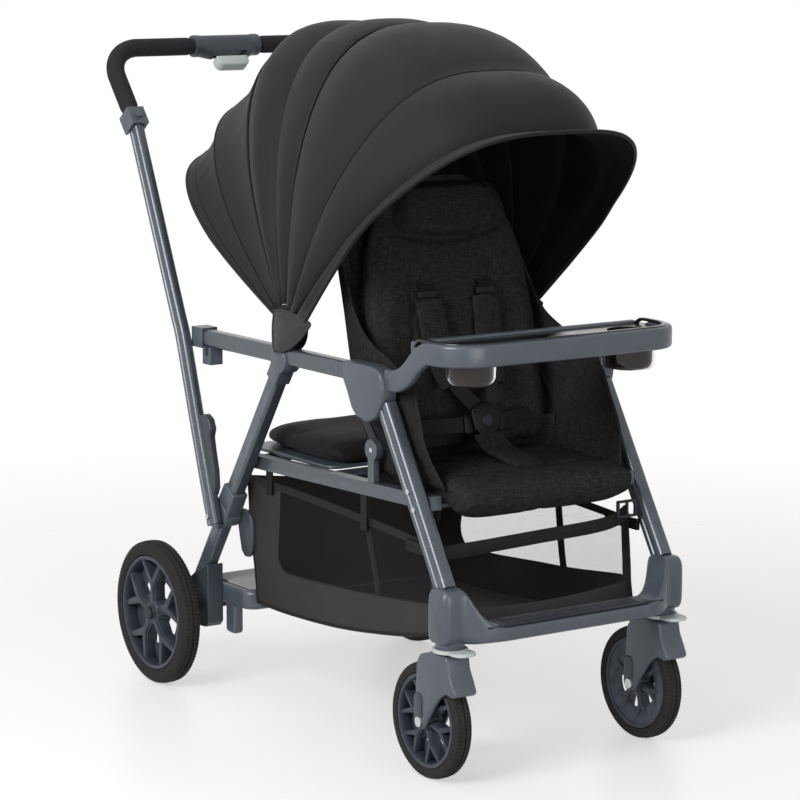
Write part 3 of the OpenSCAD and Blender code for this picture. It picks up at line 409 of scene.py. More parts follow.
@dataclass(frozen=True)
class Moulded(Finish):
    """Paint or moulded plastic: fine grain, a slow mottle and rubbed edges."""

    grain: float = 1800.0
    depth: float = 0.06
    coat: float = 0.0
    metal: float = 0.0
    edge: float = 1.6
    shine: float = 0.3

    def shade(self, graph: Graph, shader: Node, spot: Node) -> None:
        """Fills in grain, mottle and wear.

        Args:
            graph: the material's tree.
            shader: its shader.
            spot: its coordinates.
        """
        point = spot.outputs["Object"]
        grain = graph.add("ShaderNodeGroup", {"Point": point, "Scale": self.grain},
                          node_tree=Effects.grain()).outputs
        wear = graph.add("ShaderNodeGroup", {"Point": point}, node_tree=Effects.wear()).outputs
        base = graph.blend(grain["Mottle"], *(self.tone(share) for share in MOTTLE))
        gloss = (self.rough - 0.05, self.rough + 0.06)
        graph.fill(shader, {
            "Base Color": graph.blend(wear["Mask"], base, self.tone(self.edge)),
            "Roughness": graph.span(grain["Mottle"], (0.0, 1.0), gloss),
            "Metallic": self.metal, "Coat Weight": self.coat, "Coat Roughness": 0.3,
            "Specular IOR Level": self.shine,
            "Normal": graph.bump(grain["Height"], self.depth, GRAIN_BUMP)})


@dataclass(frozen=True)
class Woven(Finish):
    """Woven cloth: threads in the bump, heather streaks in the colour, soft sheen."""

    threads: float = 900.0
    depth: float = 0.3
    heather: float = 0.3
    sheen: float = 0.04
    gloss: float = 0.12
    mapped: bool = False

    def shade(self, graph: Graph, shader: Node, spot: Node) -> None:
        """Fills in threads, streaks and slow shading of the cloth.

        Args:
            graph: the material's tree.
            shader: its shader.
            spot: its coordinates.
        """
        point = spot.outputs["UV" if self.mapped else "Object"]
        weave = graph.add("ShaderNodeGroup", {"Point": point, "Threads": self.threads},
                          node_tree=Effects.weave()).outputs
        worn = graph.span(graph.noise(spot.outputs["Object"], 14.0, 3.0), (0.3, 0.7), (0.0, 1.0))
        streak = graph.blend(weave["Heather"], self.tone(1 - self.heather), self.tone(1 + self.heather))
        faded = graph.math("MULTIPLY", worn, 0.25)
        graph.fill(shader, {
            "Base Color": graph.blend(faded, streak, self.tone(1.35)),
            "Roughness": graph.span(worn, (0.0, 1.0), (self.rough - 0.06, self.rough + 0.06)),
            "Sheen Weight": self.sheen, "Sheen Roughness": 0.45, "Specular IOR Level": self.gloss,
            "Normal": graph.bump(weave["Height"], self.depth, THREAD_BUMP)})


@dataclass(frozen=True)
class Net(Finish):
    """Open mesh cloth with round holes."""

    pitch: float = 300.0
    shut: float = 0.15

    def shade(self, graph: Graph, shader: Node, spot: Node) -> None:
        """Fills in the holes as alpha and a little tone.

        Args:
            graph: the material's tree.
            shader: its shader.
            spot: its coordinates.
        """
        weave = graph.add("ShaderNodeGroup", {"Point": spot.outputs["UV"], "Threads": self.pitch},
                          node_tree=Effects.weave()).outputs
        thread = graph.math("ABSOLUTE", weave["Height"])
        graph.fill(shader, {
            "Base Color": graph.blend(weave["Heather"], self.tone(0.8), self.tone(1.2)),
            "Alpha": graph.span(thread, (self.shut, self.shut + 0.1), (1.0, 0.0)),
            "Roughness": self.rough, "Specular IOR Level": 0.1})


@dataclass(frozen=True)
class Smoke(Finish):
    """Clear tinted plastic."""

    def shade(self, graph: Graph, shader: Node, spot: Node) -> None:
        """Fills in a plain clear shader with faint scuffs.

        Args:
            graph: the material's tree.
            shader: its shader.
            spot: its coordinates.
        """
        scuff = graph.noise(spot.outputs["Object"], 45.0, 6.0)
        graph.fill(shader, {
            "Base Color": self.tone(1.0),
            "Roughness": graph.span(scuff, (0.4, 0.7), (self.rough, self.rough + 0.1)),
            "Transmission Weight": 0.8, "IOR": 1.12, "Coat Weight": 0.7, "Coat Roughness": 0.08})


PAINT = Moulded("slate_paint", (0.055, 0.066, 0.078), Slot.PAINT, 0.26, grain=2600.0, depth=0.04,
                coat=0.25, metal=0.35, shine=0.4)
SLATE = Moulded("slate_moulding", (0.051, 0.0615, 0.075), Slot.SLATE, 0.33, shine=0.45)
SLATE_DARK = Moulded("shadow_moulding", (0.028, 0.034, 0.042), Slot.SLATE, 0.42, shine=0.4)
DARK = Moulded("dark_moulding", (0.016, 0.018, 0.022), Slot.DARK, 0.45, shine=0.15)
GLOSS = Moulded("gloss_moulding", (0.008, 0.0085, 0.009), Slot.DARK, 0.18, depth=0.02, shine=0.4)
BLACK = Moulded("black_moulding", (0.004, 0.004, 0.0046), Slot.DARK, 0.4, shine=0.12)
RIM = Moulded("rim_moulding", (0.024, 0.028, 0.036), Slot.DARK, 0.36, edge=2.4, shine=0.2)
PALE = Moulded("pale_moulding", (0.4, 0.43, 0.43), Slot.PALE, 0.42, edge=1.1)
STEEL = Moulded("bright_steel", (0.55, 0.55, 0.56), Slot.STEEL, 0.25, metal=1.0, edge=1.1)
FOAM = Moulded("grip_foam", (0.0165, 0.0163, 0.018), Slot.FOAM, 0.75, grain=900.0, depth=0.25,
               edge=1.3, shine=0.12)
TREAD = Moulded("tyre_rubber", (0.017, 0.0165, 0.016), Slot.TYRE, 0.72, grain=1200.0, depth=0.2,
                edge=1.8, shine=0.1)
LEATHER = Moulded("grained_leather", (0.014, 0.014, 0.015), Slot.BLACK, 0.42, grain=700.0, depth=0.3,
                  edge=1.5)
DECK = Moulded("deck_sheet", (0.27, 0.27, 0.275), Slot.PALE, 0.6, grain=300.0, depth=0.25, edge=1.0)
SMOKE = Smoke("smoke_clear", (0.066, 0.05, 0.04), Slot.SMOKE, 0.02)
CANOPY = Woven("canopy_cloth", (0.0138, 0.0135, 0.0152), Slot.CHARCOAL, 0.62, threads=1400.0,
               depth=0.12, heather=0.1, gloss=0.12, mapped=True)
LINING = Woven("lining_cloth", (0.0035, 0.0035, 0.0038), Slot.BLACK, 0.8, threads=1200.0, depth=0.1,
               heather=0.1, sheen=0.0, gloss=0.05, mapped=True)
PIPING = Woven("piping_cloth", (0.006, 0.006, 0.0065), Slot.BLACK, 0.55, threads=1500.0, depth=0.2,
               heather=0.1)
HEATHER = Woven("heather_weave", (0.021, 0.021, 0.0218), Slot.HEATHER, 0.85, threads=620.0, depth=0.5,
                heather=0.6, sheen=0.004, gloss=0.0)
HEATHER_MAPPED = replace(HEATHER, name="heather_weave_mapped", mapped=True)
WEBBING = Woven("strap_webbing", (0.007, 0.007, 0.0075), Slot.BLACK, 0.6, threads=700.0, depth=0.5,
                heather=0.2, mapped=True)
BENCH = Woven("bench_cloth", (0.008, 0.008, 0.0084), Slot.BLACK, 0.75, threads=900.0, depth=0.25,
              heather=0.2)
BASKET = Woven("basket_cloth", (0.012, 0.0113, 0.0125), Slot.BLACK, 0.6, threads=1300.0, depth=0.15,
               heather=0.15, gloss=0.3, mapped=True)
NET = Net("basket_net", (0.015, 0.015, 0.017), Slot.BLACK, 0.7)


class Shape:
    """A mesh under construction."""

    def __init__(self) -> None:
        """Starts an empty mesh with a map."""
        self.bm = bmesh.new()
        self.uv = self.bm.loops.layers.uv.new("UVMap")

    def skin(self, nu: int, nv: int, place: Placer, flat: Point2 = (1.0, 1.0),
             paint: Callable[[float, float], int] | None = None) -> list[BMVert]:
        """Lays a grid over a surface.

        Args:
            nu: steps one way.
            nv: steps the other way.
            place: gives a point for each pair of shares.
            flat: the sheet's size in metres, for its map.
            paint: gives a material number for each pair of shares.

        Returns:
            The new vertices.
        """
        made = bmesh.ops.create_grid(self.bm, x_segments=nu, y_segments=nv, size=0.5)["verts"]
        spots = {v: (v.co.x + 0.5, v.co.y + 0.5) for v in made}
        for face in dict.fromkeys(f for v in made for f in v.link_faces):
            for loop in face.loops:
                u, v = spots[loop.vert]
                loop[self.uv].uv = (u * flat[0], v * flat[1])
            if paint:
                middle = [sum(spots[v][k] for v in face.verts) / len(face.verts) for k in (0, 1)]
                face.material_index = paint(*middle)
        for vert, (u, v) in spots.items():
            vert.co = place(u, v)
        return made

    def weld(self, verts: Sequence[BMVert], close: bool = True) -> None:
        """Joins the seam of a skin and closes its open ends.

        Args:
            verts: the skin's vertices.
            close: whether open rims are filled.
        """
        bmesh.ops.remove_doubles(self.bm, verts=verts, dist=WELD)
        if close:
            rims = [e for e in self.bm.edges if e.is_boundary]
            bmesh.ops.holes_fill(self.bm, edges=rims, sides=0)

    def sweep(self, section: Sequence[Point2], path: Sequence[Vector], up: Vector,
              closed: bool = False, scale: Callable[[float], float] = lambda t: 1.0) -> None:
        """Carries a closed section along a path.

        Args:
            section: the outline as (across, up) in metres.
            path: the points it passes.
            up: the direction that stays up.
            closed: whether the path is a ring.
            scale: a size share for each share of the path.
        """
        rings = []
        count = len(path)
        for i, spot in enumerate(path):
            ahead = path[(i + 1) % count] if closed or i + 1 < count else spot
            behind = path[i - 1] if closed or i else spot
            run = (ahead - behind).normalized()
            side = run.cross(up).normalized()
            rise = side.cross(run)
            s = scale(i / (count - 1))
            rings.append([spot + side * a * s + rise * b * s for a, b in section])
        around, down = len(section), count if closed else count - 1
        length = sum((b - a).length for a, b in zip(path, path[1:]))
        girth = sum(math.dist(a, b) for a, b in zip(section, section[1:]))

        def place(u: float, v: float) -> Vector:
            """The point of the swept skin at a share round and a share along."""
            return rings[round(v * down) % count][round(u * around) % around]

        self.weld(self.skin(around, down, place, (girth, length)), close=not closed)

    def tube(self, path: Sequence[Vector], radius: float, sides: int = 10, closed: bool = False,
             up: Vector = Vector((0.13, 0.21, 0.97))) -> None:
        """Runs a round tube along a path."""
        self.sweep(circle(radius, sides), path, up, closed)

    def prism(self, outline: Sequence[Vector], push: Vector, round_off: float = 0.0,
              segments: int = 2) -> None:
        """Gives an outline thickness and rounds its edges.

        Args:
            outline: the corner points of a flat face.
            push: how far the face is drawn out.
            round_off: the width of the rounding.
            segments: its steps.
        """
        first = self.bm.faces.new([self.bm.verts.new(p) for p in outline])
        drawn = bmesh.ops.extrude_face_region(self.bm, geom=[first])["geom"]
        moved = [g for g in drawn if isinstance(g, BMVert)]
        bmesh.ops.translate(self.bm, vec=push, verts=moved)
        mine = [*first.verts, *moved]
        faces = list(dict.fromkeys(f for v in mine for f in v.link_faces))
        bmesh.ops.recalc_face_normals(self.bm, faces=faces)
        self.round_edges(mine, round_off, segments)

    def block(self, size: Sequence[float], matrix: Matrix, round_off: float = 0.0,
              segments: int = 2) -> None:
        """Adds a box with rounded edges at a place.

        Args:
            size: its size each way.
            matrix: its place and turn.
            round_off: the width of the rounding.
            segments: its steps.
        """
        grow = Matrix.Diagonal((*size, 1.0))
        made = bmesh.ops.create_cube(self.bm, size=1.0, matrix=matrix @ grow)["verts"]
        self.round_edges(made, round_off, segments)

    def round_edges(self, verts: Iterable[BMVert], width: float, segments: int) -> None:
        """Rounds every edge that meets the given vertices.

        Args:
            verts: the vertices.
            width: the width of the rounding, or nothing for sharp edges.
            segments: its steps.
        """
        if width:
            edges = list(dict.fromkeys(e for v in verts for e in v.link_edges))
            bmesh.ops.bevel(self.bm, geom=edges, offset=width, affect="EDGES", segments=segments,
                            profile=0.5, material=-1, clamp_overlap=True)

    def lathe(self, profile: Sequence[Point2], centre: Vector, axis: Vector, steps: int = 48) -> None:
        """Turns a profile about an axis.

        Args:
            profile: points of (radius, height) in millimetres.
            centre: the foot of the axis.
            axis: its direction.
            steps: steps round the axis.
        """
        axis = axis.normalized()
        side = axis.orthogonal().normalized()
        verts = [self.bm.verts.new(centre + side * r + axis * h) for r, h in metres(profile)]
        edges = [self.bm.edges.new(pair) for pair in zip(verts, verts[1:])]
        before = set(self.bm.verts) - set(verts)
        bmesh.ops.spin(self.bm, geom=[*verts, *edges], cent=centre, axis=axis, angle=TURN, steps=steps,
                       use_merge=True, use_duplicate=False)
        fresh = [v for v in self.bm.verts if v not in before]
        bmesh.ops.remove_doubles(self.bm, verts=fresh, dist=WELD)

    def mirror(self) -> None:
        """Adds the other side of the stroller."""
        mine = [*self.bm.verts, *self.bm.edges, *self.bm.faces]
        twin = bmesh.ops.duplicate(self.bm, geom=mine)["geom"]
        verts = [g for g in twin if isinstance(g, BMVert)]
        faces = [g for g in twin if isinstance(g, BMFace)]
        bmesh.ops.scale(self.bm, vec=(-1, 1, 1), verts=verts)
        bmesh.ops.reverse_faces(self.bm, faces=faces)

    def mesh(self, name: str, recalc: bool = True) -> Mesh:
        """Writes the shape to a mesh.

        Args:
            name: the mesh's name.
            recalc: whether the faces are turned outwards first.

        Returns:
            The new mesh.
        """
        if recalc:
            bmesh.ops.recalc_face_normals(self.bm, faces=self.bm.faces[:])
        made = bpy.data.meshes.new(name)
        self.bm.to_mesh(made)
        self.bm.free()
        return made

    def piece(self, name: str, finishes: Finish | Sequence[Finish], body: str | None,
              angle: float = 40.0, node: str | None = None, recalc: bool = True) -> Object:
        """Writes the shape as a finished piece that rides on a body.

        Args:
            name: the piece's name.
            finishes: its finish, or one for each material number.
            body: the body it rides on, or none where it bends between two.
            angle: edges sharper than this stay crisp, in degrees.
            node: the CAD node that it replaces, where there is one.
            recalc: whether the faces are turned outwards first.

        Returns:
            The new object.
        """
        made = dress(bpy.data.objects.new(name, self.mesh(name, recalc)), finishes, body, angle)
        if node:
            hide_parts(node)
        return made


def dress(obj: Object, finishes: Finish | Sequence[Finish], body: str | None,
          angle: float = 40.0) -> Object:
    """Links a piece, gives it its finishes and sets it on its body.

    Args:
        obj: the piece.
        finishes: its finish, or one for each material number.
        body: the body it rides on, or none where it bends between two or rides already.
        angle: edges sharper than this stay crisp, in degrees.

    Returns:
        The same piece.
    """
    if obj.name not in bpy.context.scene.collection.objects:
        bpy.context.scene.collection.objects.link(obj)
    several = [finishes] if isinstance(finishes, Finish) else list(finishes)
    for number, finish in enumerate(several):
        if number < len(obj.data.materials):
            obj.data.materials[number] = finish.material()
        else:
            obj.data.materials.append(finish.material())
    obj.data.shade_smooth()
    obj.data.set_sharp_from_angle(angle=math.radians(angle))
    if body:
        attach(obj, body)
    log.info("%s on %s", obj.name, body or "its body or bodies")
    return obj


def modify(obj: Object, kind: str, **values: object) -> Modifier:
    """Adds a modifier.

    Args:
        obj: the piece that gets it.
        kind: the modifier's type.
        values: its settings.

    Returns:
        The modifier.
    """
    made = obj.modifiers.new(kind.lower(), kind)
    for key, value in values.items():
        setattr(made, key, value)
    return made


def settle(obj: Object) -> None:
    """Makes what the modifiers give the mesh itself.

    Args:
        obj: the piece with live modifiers.
    """
    graph = bpy.context.evaluated_depsgraph_get()
    graph.update()
    made = bpy.data.meshes.new_from_object(obj.evaluated_get(graph))
    obj.modifiers.clear()
    obj.data = made


def carve(obj: Object, cut: Shape) -> None:
    """Cuts a solid shape out of a piece.

    Args:
        obj: the piece.
        cut: the shape that is taken away.
    """
    cutter = bpy.data.objects.new("cutter", cut.mesh("cutter"))
    bpy.context.scene.collection.objects.link(cutter)
    modify(obj, "BOOLEAN", operation="DIFFERENCE", object=cutter, solver="EXACT")
    settle(obj)
    bpy.data.objects.remove(cutter)


def swell(obj: Object, voxel: float, cap: float, pressure: float = 4.0,
          frames: int = 20) -> None:
    """Fills a pad with air as cloth and keeps its shape.

    Args:
        obj: a closed mesh, slightly smaller than the pad.
        voxel: the size of its new faces in metres.
        cap: how far a point may move in metres.
        pressure: how hard the filling pushes.
        frames: how long it is left to settle.
    """
    modify(obj, "REMESH", mode="VOXEL", voxel_size=voxel, use_smooth_shade=True)
    settle(obj)
    start = [v.co.copy() for v in obj.data.vertices]
    cloth = modify(obj, "CLOTH")
    cloth.settings.use_pressure = True
    cloth.settings.uniform_pressure_force = pressure
    cloth.settings.effector_weights.gravity = 0.0
    cloth.settings.quality = 5
    cloth.point_cache.frame_start = 1
    cloth.point_cache.frame_end = frames
    scene = bpy.context.scene
    for number in range(1, frames + 1):
        scene.frame_set(number)
    settle(obj)
    scene.frame_set(1)
    for vert, old in zip(obj.data.vertices, start):
        move = vert.co - old
        if move.length > cap:
            vert.co = old + move.normalized() * cap


def box_section(w: float, d: float, r: float, groove_w: float = 0.0, deep: float = 0.0,
                steps: int = 5) -> list[Point2]:
    """A rounded oblong, with a groove in each broad face where one is asked for.

    Args:
        w: the size across, in millimetres like the rest.
        d: the size up.
        r: the corner rounding.
        groove_w: the groove's width.
        deep: the groove's depth.
        steps: steps in a corner.

    Returns:
        The outline as (across, up) in metres.
    """
    out: list[Point2] = []
    for k, (sx, sy) in enumerate(((1, 1), (-1, 1), (-1, -1), (1, -1))):
        out += [(sx * (w / 2 - r) + r * math.cos(a), sy * (d / 2 - r) + r * math.sin(a))
                for a in (math.pi / 2 * (k + i / steps) for i in range(steps + 1))]
        if groove_w and k in (1, 3):
            turn = -sx if k == 1 else sx
            edge, low, half = turn * -w / 2, turn * (deep - w / 2), turn * groove_w / 2
            out += [(edge, 2 * half), (low, half), (low, -half), (edge, -2 * half)]
    return metres(out)


@dataclass
class Softener:
    """Keeps the shape of plain CAD nodes and rounds their edges; sizes in metres and degrees."""

    angle: float = 32.0
    flat_within: float = 1.5
    tubes: tuple[str, ...] = ("armrest", "strut", "rear_leg")
    tube_edge: float = 0.0025
    single: tuple[tuple[str, Finish, float], ...] = (
        ("armrest_caps", SLATE, 0.006), ("seat_frame", PAINT, 0.002),
        ("recline_brackets", SLATE, 0.002), ("bench_pan", SLATE, 0.002),
        ("handle_collars", SLATE, 0.003), ("rear_posts", SLATE_DARK, 0.003),
        ("platform", SLATE, 0.006), ("platform_grip", DECK, 0.001), ("backrest_frame", DARK, 0.001),
        ("basket_clips", BLACK, 0.001), ("canopy_mounts", BLACK, 0.003),
        ("buckle_button", DARK, 0.002), ("footrest_grip", DARK, 0.001))
    plain: tuple[tuple[str, Finish], ...] = (
        ("rivets", STEEL), ("rear_axle", DARK), ("axle_bolt_left", STEEL), ("axle_bolt_right", STEEL))

    def soften(self, node: str, finish: Finish, width: float) -> None:
        """Stands a rounded copy in for a node.

        Args:
            node: the CAD node.
            finish: the finish it gets.
            width: the width of the rounding.
        """
        source = frame["nodes"][node]
        shape = Shape()
        shape.bm.from_mesh(source.data)
        bmesh.ops.remove_doubles(shape.bm, verts=shape.bm.verts[:], dist=WELD)
        bmesh.ops.dissolve_limit(shape.bm, angle_limit=math.radians(self.flat_within),
                                 verts=shape.bm.verts[:], edges=shape.bm.edges[:])
        made = shape.piece(node + ".rounded", finish, source["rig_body"], self.angle, node, recalc=False)
        modify(made, "BEVEL", width=width, segments=3, limit_method="ANGLE", profile=0.5,
               angle_limit=math.radians(self.angle), use_clamp_overlap=True, harden_normals=False)

    def build(self) -> None:
        """Rounds every plain node, and gives the small steel ones their finish."""
        for side in Side:
            for stem in self.tubes:
                self.soften(f"{stem}_{side.word}", PAINT, self.tube_edge)
        for node, finish, width in self.single:
            self.soften(node, finish, width)
        for node, finish in self.plain:
            mesh = frame["nodes"][node].data
            mesh.materials.clear()
            mesh.materials.append(finish.material())
            mesh.shade_smooth()
            mesh.set_sharp_from_angle(angle=math.radians(self.angle))


@dataclass
class Wheel:
    """A pair of wheels with treaded tyres and forked spokes."""

    stem: str
    x: float
    y: float
    r: float
    w: float
    tyre_h: float
    spokes: int
    hub: float
    blocks: int
    fork_at: float
    spread: float

    def body(self, side: Side) -> str:
        """The name of the body that a wheel rides on."""
        return f"{self.stem}_wheel_{side.word}"

    def turned(self, shape: Shape, profile: Sequence[Point2], side: Side, steps: int = 72) -> None:
        """Turns a profile of (radius, offset) about this wheel's axle."""
        centre = at(self.x * side.value, self.y, self.r)
        shape.lathe(profile, centre, ACROSS * side.value, steps)

    def spot(self, side: Side, r: float, turn: float, off: float) -> Vector:
        """A point on the wheel at a radius, a turn in radians and an offset along the axle."""
        y, z = self.y + r * math.cos(turn), self.r + r * math.sin(turn)
        return at((self.x + off) * side.value, y, z)

    def tyre(self, side: Side) -> None:
        """Builds a tyre with its ribs and shoulder blocks.

        Args:
            side: the wheel's side.
        """
        r, w, h = self.r, self.w, self.tyre_h
        half = [(r - h, 0.34), (r - h * 0.92, 0.46), (r - h * 0.6, 0.5), (r - h * 0.3, 0.47),
                (r - h * 0.16, 0.4), (r - 2.6, 0.32), (r - 2.4, 0.2), (r - 0.6, 0.18),
                (r - 0.4, 0.06), (r - 2.4, 0.045), (r - 2.4, 0.0)]
        profile = [(a, -b * w) for a, b in half] + [(a, b * w) for a, b in reversed(half[:-1])]
        shape = Shape()
        self.turned(shape, [*profile, profile[0]], side)
        for i in range(self.blocks):
            for edge in (-1, 1):
                turn = TURN * (i + 0.5 * (edge > 0)) / self.blocks
                out = Vector((0, math.cos(turn), math.sin(turn)))
                skew = Matrix.Rotation(edge * 0.5, 3, out)
                axes = (skew @ ACROSS, skew @ ACROSS.cross(out), out)
                base = Matrix(axes).transposed().to_4x4()
                base.translation = self.spot(side, r - 2.7, turn, edge * w * 0.27)
                shape.block((w * 0.2 * MM, 3.2 * MM, 2.0 * MM), base)
        node = f"{self.stem}_tyre_{side.word}"
        shape.piece(node + ".tread", TREAD, self.body(side), 35.0, node)

    def rim(self, side: Side) -> None:
        """Builds a rim with its hub and forked spokes.

        Args:
            side: the wheel's side.
        """
        r, w, hub = self.r - self.tyre_h - 0.3, self.w, self.hub
        lip, floor, cap = 0.44 * w, r - 7.5, 0.46 * w
        tips, fork, spread = floor + 1.5, self.fork_at, self.spread
        shape = Shape()
        ring = [(r, -lip), (r - 2.5, -lip - 1), (r - 6, -lip), (floor, -lip + 4), (floor - 2.2, 0),
                (floor, lip - 4), (r - 6, lip), (r - 2.5, lip + 1), (r, lip)]
        self.turned(shape, [*ring, ring[0]], side)
        self.turned(shape, [(0.01, cap), (hub * 0.5, cap), (hub * 0.55, cap - 1.5),
                            (hub * 0.85, cap - 2), (hub, cap - 5), (hub * 1.04, 2 - cap),
                            (hub * 0.8, -cap), (0.01, -cap)], side, 40)
        self.turned(shape, [(floor + 1, -0.38 * w), (0.66 * floor, -0.2 * w), (0.64 * floor, -0.13 * w),
                            (floor + 1, -0.26 * w), (floor + 1, -0.38 * w)], side)
        y_shape = [(hub * 0.7, -0.42), (fork, -0.36), (tips, -spread - 0.24), (tips + 1, -spread + 0.2),
                   (fork * 1.28, 0.0), (tips + 1, spread - 0.2), (tips, spread + 0.24), (fork, 0.36),
                   (hub * 0.7, 0.42)]
        for i in range(self.spokes):
            turn = TURN * (i + 0.25) / self.spokes
            for low, high, trim in ((-0.3, 0.3, 1.0), (0.26, 0.37, 0.55)):
                points = []
                for reach, wide in y_shape:
                    t = wide * hub * (trim if reach < tips - 1 else 1.0)
                    way = turn + math.atan2(t, reach)
                    points.append(self.spot(side, math.hypot(reach, t), way, low * w))
                shape.prism(points, ACROSS * ((high - low) * w * MM * side.value), 0.0009, 2)
        node = f"{self.stem}_rim_{side.word}"
        shape.piece(node + ".spokes", RIM, self.body(side), 30.0, node)

    def build(self) -> None:
        """Builds both wheels of the pair."""
        for side in Side:
            self.tyre(side)
            self.rim(side)


@dataclass
class Caster:
    """The swivelling forks and their locks."""

    x: float = 206.0
    axle_z: float = 92.5
    half_w: float = 22.0
    gap: float = 16.6
    wheel_r: float = 96.0
    stem_y: float = -49.0
    stem_z: float = 197.0
    lock_z: float = 211.0
    outline: Outline = (
        (-70, 206), (-74, 186), (-84, 168), (-92, 152), (-86, 146), (-66, 149), (-50, 139), (-36, 122),
        (-20, 100), (-9, 82), (4, 78), (13, 86), (15, 100), (14, 150), (11, 186), (3, 199), (-14, 204),
        (-26, 209), (-62, 209))
    guard: Outline = ((-6, 84), (8, 82), (14, 92), (15, 130), (10, 137), (0, 137), (-5, 130))
    guard_t: float = 2.6
    stem: Outline = ((0.1, 0), (19, 0), (20, 3), (20, 14), (8, 14), (8, 58), (0.1, 58))
    ring: Outline = ((23, 0), (27.5, 0), (28, 1), (28, 4.5), (27, 5.5), (23, 5.5), (23, 0))
    blade: Outline = ((-20, -22), (-20, -36), (-16, -46), (-7, -51), (7, -51), (16, -46),
                                 (20, -36), (20, -22))

    def fork(self, side: Side) -> None:
        """Builds a fork, slotted for its wheel.

        Args:
            side: the fork's side.
        """
        shape, slot, x = Shape(), Shape(), self.x * side.value
        shape.prism(upright(x - self.half_w, self.outline), ACROSS * (2 * self.half_w * MM), 0.008, 4)
        node = f"fork_{side.word}"
        made = shape.piece(node + ".shell", SLATE, f"caster_{side.word}", 35.0, node)
        r, gap = self.wheel_r, self.gap
        slot.lathe([(0.1, -gap), (r, -gap), (r, gap), (0.1, gap)], at(x, 0, self.axle_z), ACROSS, 64)
        carve(made, slot)
        dress(made, SLATE, None, 35.0)

    def plates(self, side: Side) -> None:
        """Builds a fork's guard plates and its stem.

        Args:
            side: the fork's side.
        """
        shape, x = Shape(), self.x * side.value
        for edge in (-1, 1):
            base = x + edge * (self.half_w - 0.6)
            shape.prism(upright(base, self.guard), ACROSS * (edge * self.guard_t * MM), 0.001, 2)
        shape.lathe(self.stem, at(x, self.stem_y, self.stem_z), UP, 40)
        shape.piece(f"fork_{side.word}.plates", SLATE_DARK, f"caster_{side.word}", 35.0)

    def lock(self, side: Side) -> None:
        """Builds a swivel lock: a ring round the socket with a thumb blade.

        Args:
            side: the lock's side.
        """
        shape, x = Shape(), self.x * side.value
        shape.lathe(self.ring, at(x, self.stem_y, self.lock_z), UP, 48)
        outline = [at(x + a, self.stem_y + b, self.lock_z + 0.4) for a, b in self.blade]
        shape.prism(outline, UP * 0.005, 0.0015, 2)
        node = f"swivel_lock_{side.word}"
        shape.piece(node + ".blade", PALE, node, 40.0, node)

    def build(self) -> None:
        """Builds both forks with their plates and locks."""
        for side in Side:
            self.fork(side)
            self.plates(side)
            self.lock(side)


@dataclass
class Footrest:
    """The bar between the casters, flared into the leg boots."""

    stations: Table = (
        (0, -79, 25, 226, 250), (122, -79, 25, 226, 250), (142, -78.5, 25, 226, 252),
        (160, -76, 25.5, 226, 258), (174, -70, 26.5, 225, 270), (184, -63, 27, 224, 286),
        (192, -56, 27, 224, 302), (200, -50, 27, 224, 311), (221, -49, 26.5, 224, 311),
        (229, -49, 24, 225, 308), (234, -49, 18, 230, 298), (236.5, -49, 8, 246, 276))
    squareness: float = 0.42
    boot_from: float = 200.0
    socket: Outline = ((0.1, 0), (21.5, 0), (22.5, 1.5), (22.5, 30), (0.1, 30))
    socket_at: Point3 = (206, -49, 212)
    ribs: int = 34
    ribs_half: float = 126.0
    rib_at: Point2 = (-79, 253.4)
    rib_size: Point3 = (4.2 * MM, 30 * MM, 1.2 * MM)

    def build(self) -> None:
        """Builds the footrest with its boots, and its ribbed strip."""
        rows = spline([Vector(s) for s in self.stations], 5)

        def place(u: float, v: float) -> Vector:
            """A point of the bar's skin.

            Args:
                u: the share of the turn.
                v: the share of the stations.

            Returns:
                The point.
            """
            x, y, deep, foot, top = rows[round(v * (len(rows) - 1))]
            c, s = squared(TURN * u, self.squareness)
            return at(x, y + deep * c, (foot + top) / 2 + (top - foot) / 2 * s)

        bar = Shape()
        bar.weld(bar.skin(40, len(rows) - 1, place), close=False)
        outer = [e for e in bar.bm.edges if e.is_boundary and e.verts[0].co.x > self.boot_from * MM]
        bmesh.ops.holes_fill(bar.bm, edges=outer, sides=0)
        bar.lathe(self.socket, at(*self.socket_at), UP, 48)
        bar.mirror()
        bar.weld([v for v in bar.bm.verts if abs(v.co.x) < WELD], close=False)
        bar.piece("footrest.bar", SLATE, "chassis", 35.0, "footrest")
        strip = Shape()
        for i in range(self.ribs):
            x = -self.ribs_half + 2 * self.ribs_half * i / (self.ribs - 1)
            strip.block(self.rib_size, Matrix.Translation(at(x, *self.rib_at)), 0.0004, 1)
        strip.piece("footrest.ribs", DARK, "chassis")


@dataclass
class Legs:
    """The front legs and the knuckles that join them to the armrests."""

    x: float = 211.0
    w: float = 24.0
    d: float = 32.0
    low: Point2 = (-44.0, 306.0)
    top: Point2 = (116.0, 568.0)
    steps: int = 12
    knuckle_x: float = 197.5
    knuckle_w: float = 32.0
    knuckle: Outline = (
        (216, 629), (216, 598), (206, 583), (192, 556), (178, 544), (150, 538), (124, 548), (108, 574),
        (104, 596), (106, 614), (116, 625), (140, 629))

    def build(self) -> None:
        """Builds the knuckles, and both legs with their grooves."""
        joint = Shape()
        joint.prism(upright(self.knuckle_x, self.knuckle), ACROSS * (self.knuckle_w * MM), 0.006, 4)
        joint.mirror()
        joint.piece("front_brackets.knuckles", SLATE, "chassis", 35.0, "front_brackets")
        section = box_section(self.w, self.d, 7.0, 4.0, 1.4)
        shares = [i / self.steps for i in range(self.steps + 1)]
        line = [tuple(mix(a, b, t) for a, b in zip(self.low, self.top)) for t in shares]
        for side in Side:
            shape = Shape()
            shape.sweep(section, upright(self.x * side.value, line), Vector((0, -0.8, 0.5)))
            node = f"front_leg_{side.word}"
            shape.piece(node + ".tube", PAINT, "chassis", 25.0, node)


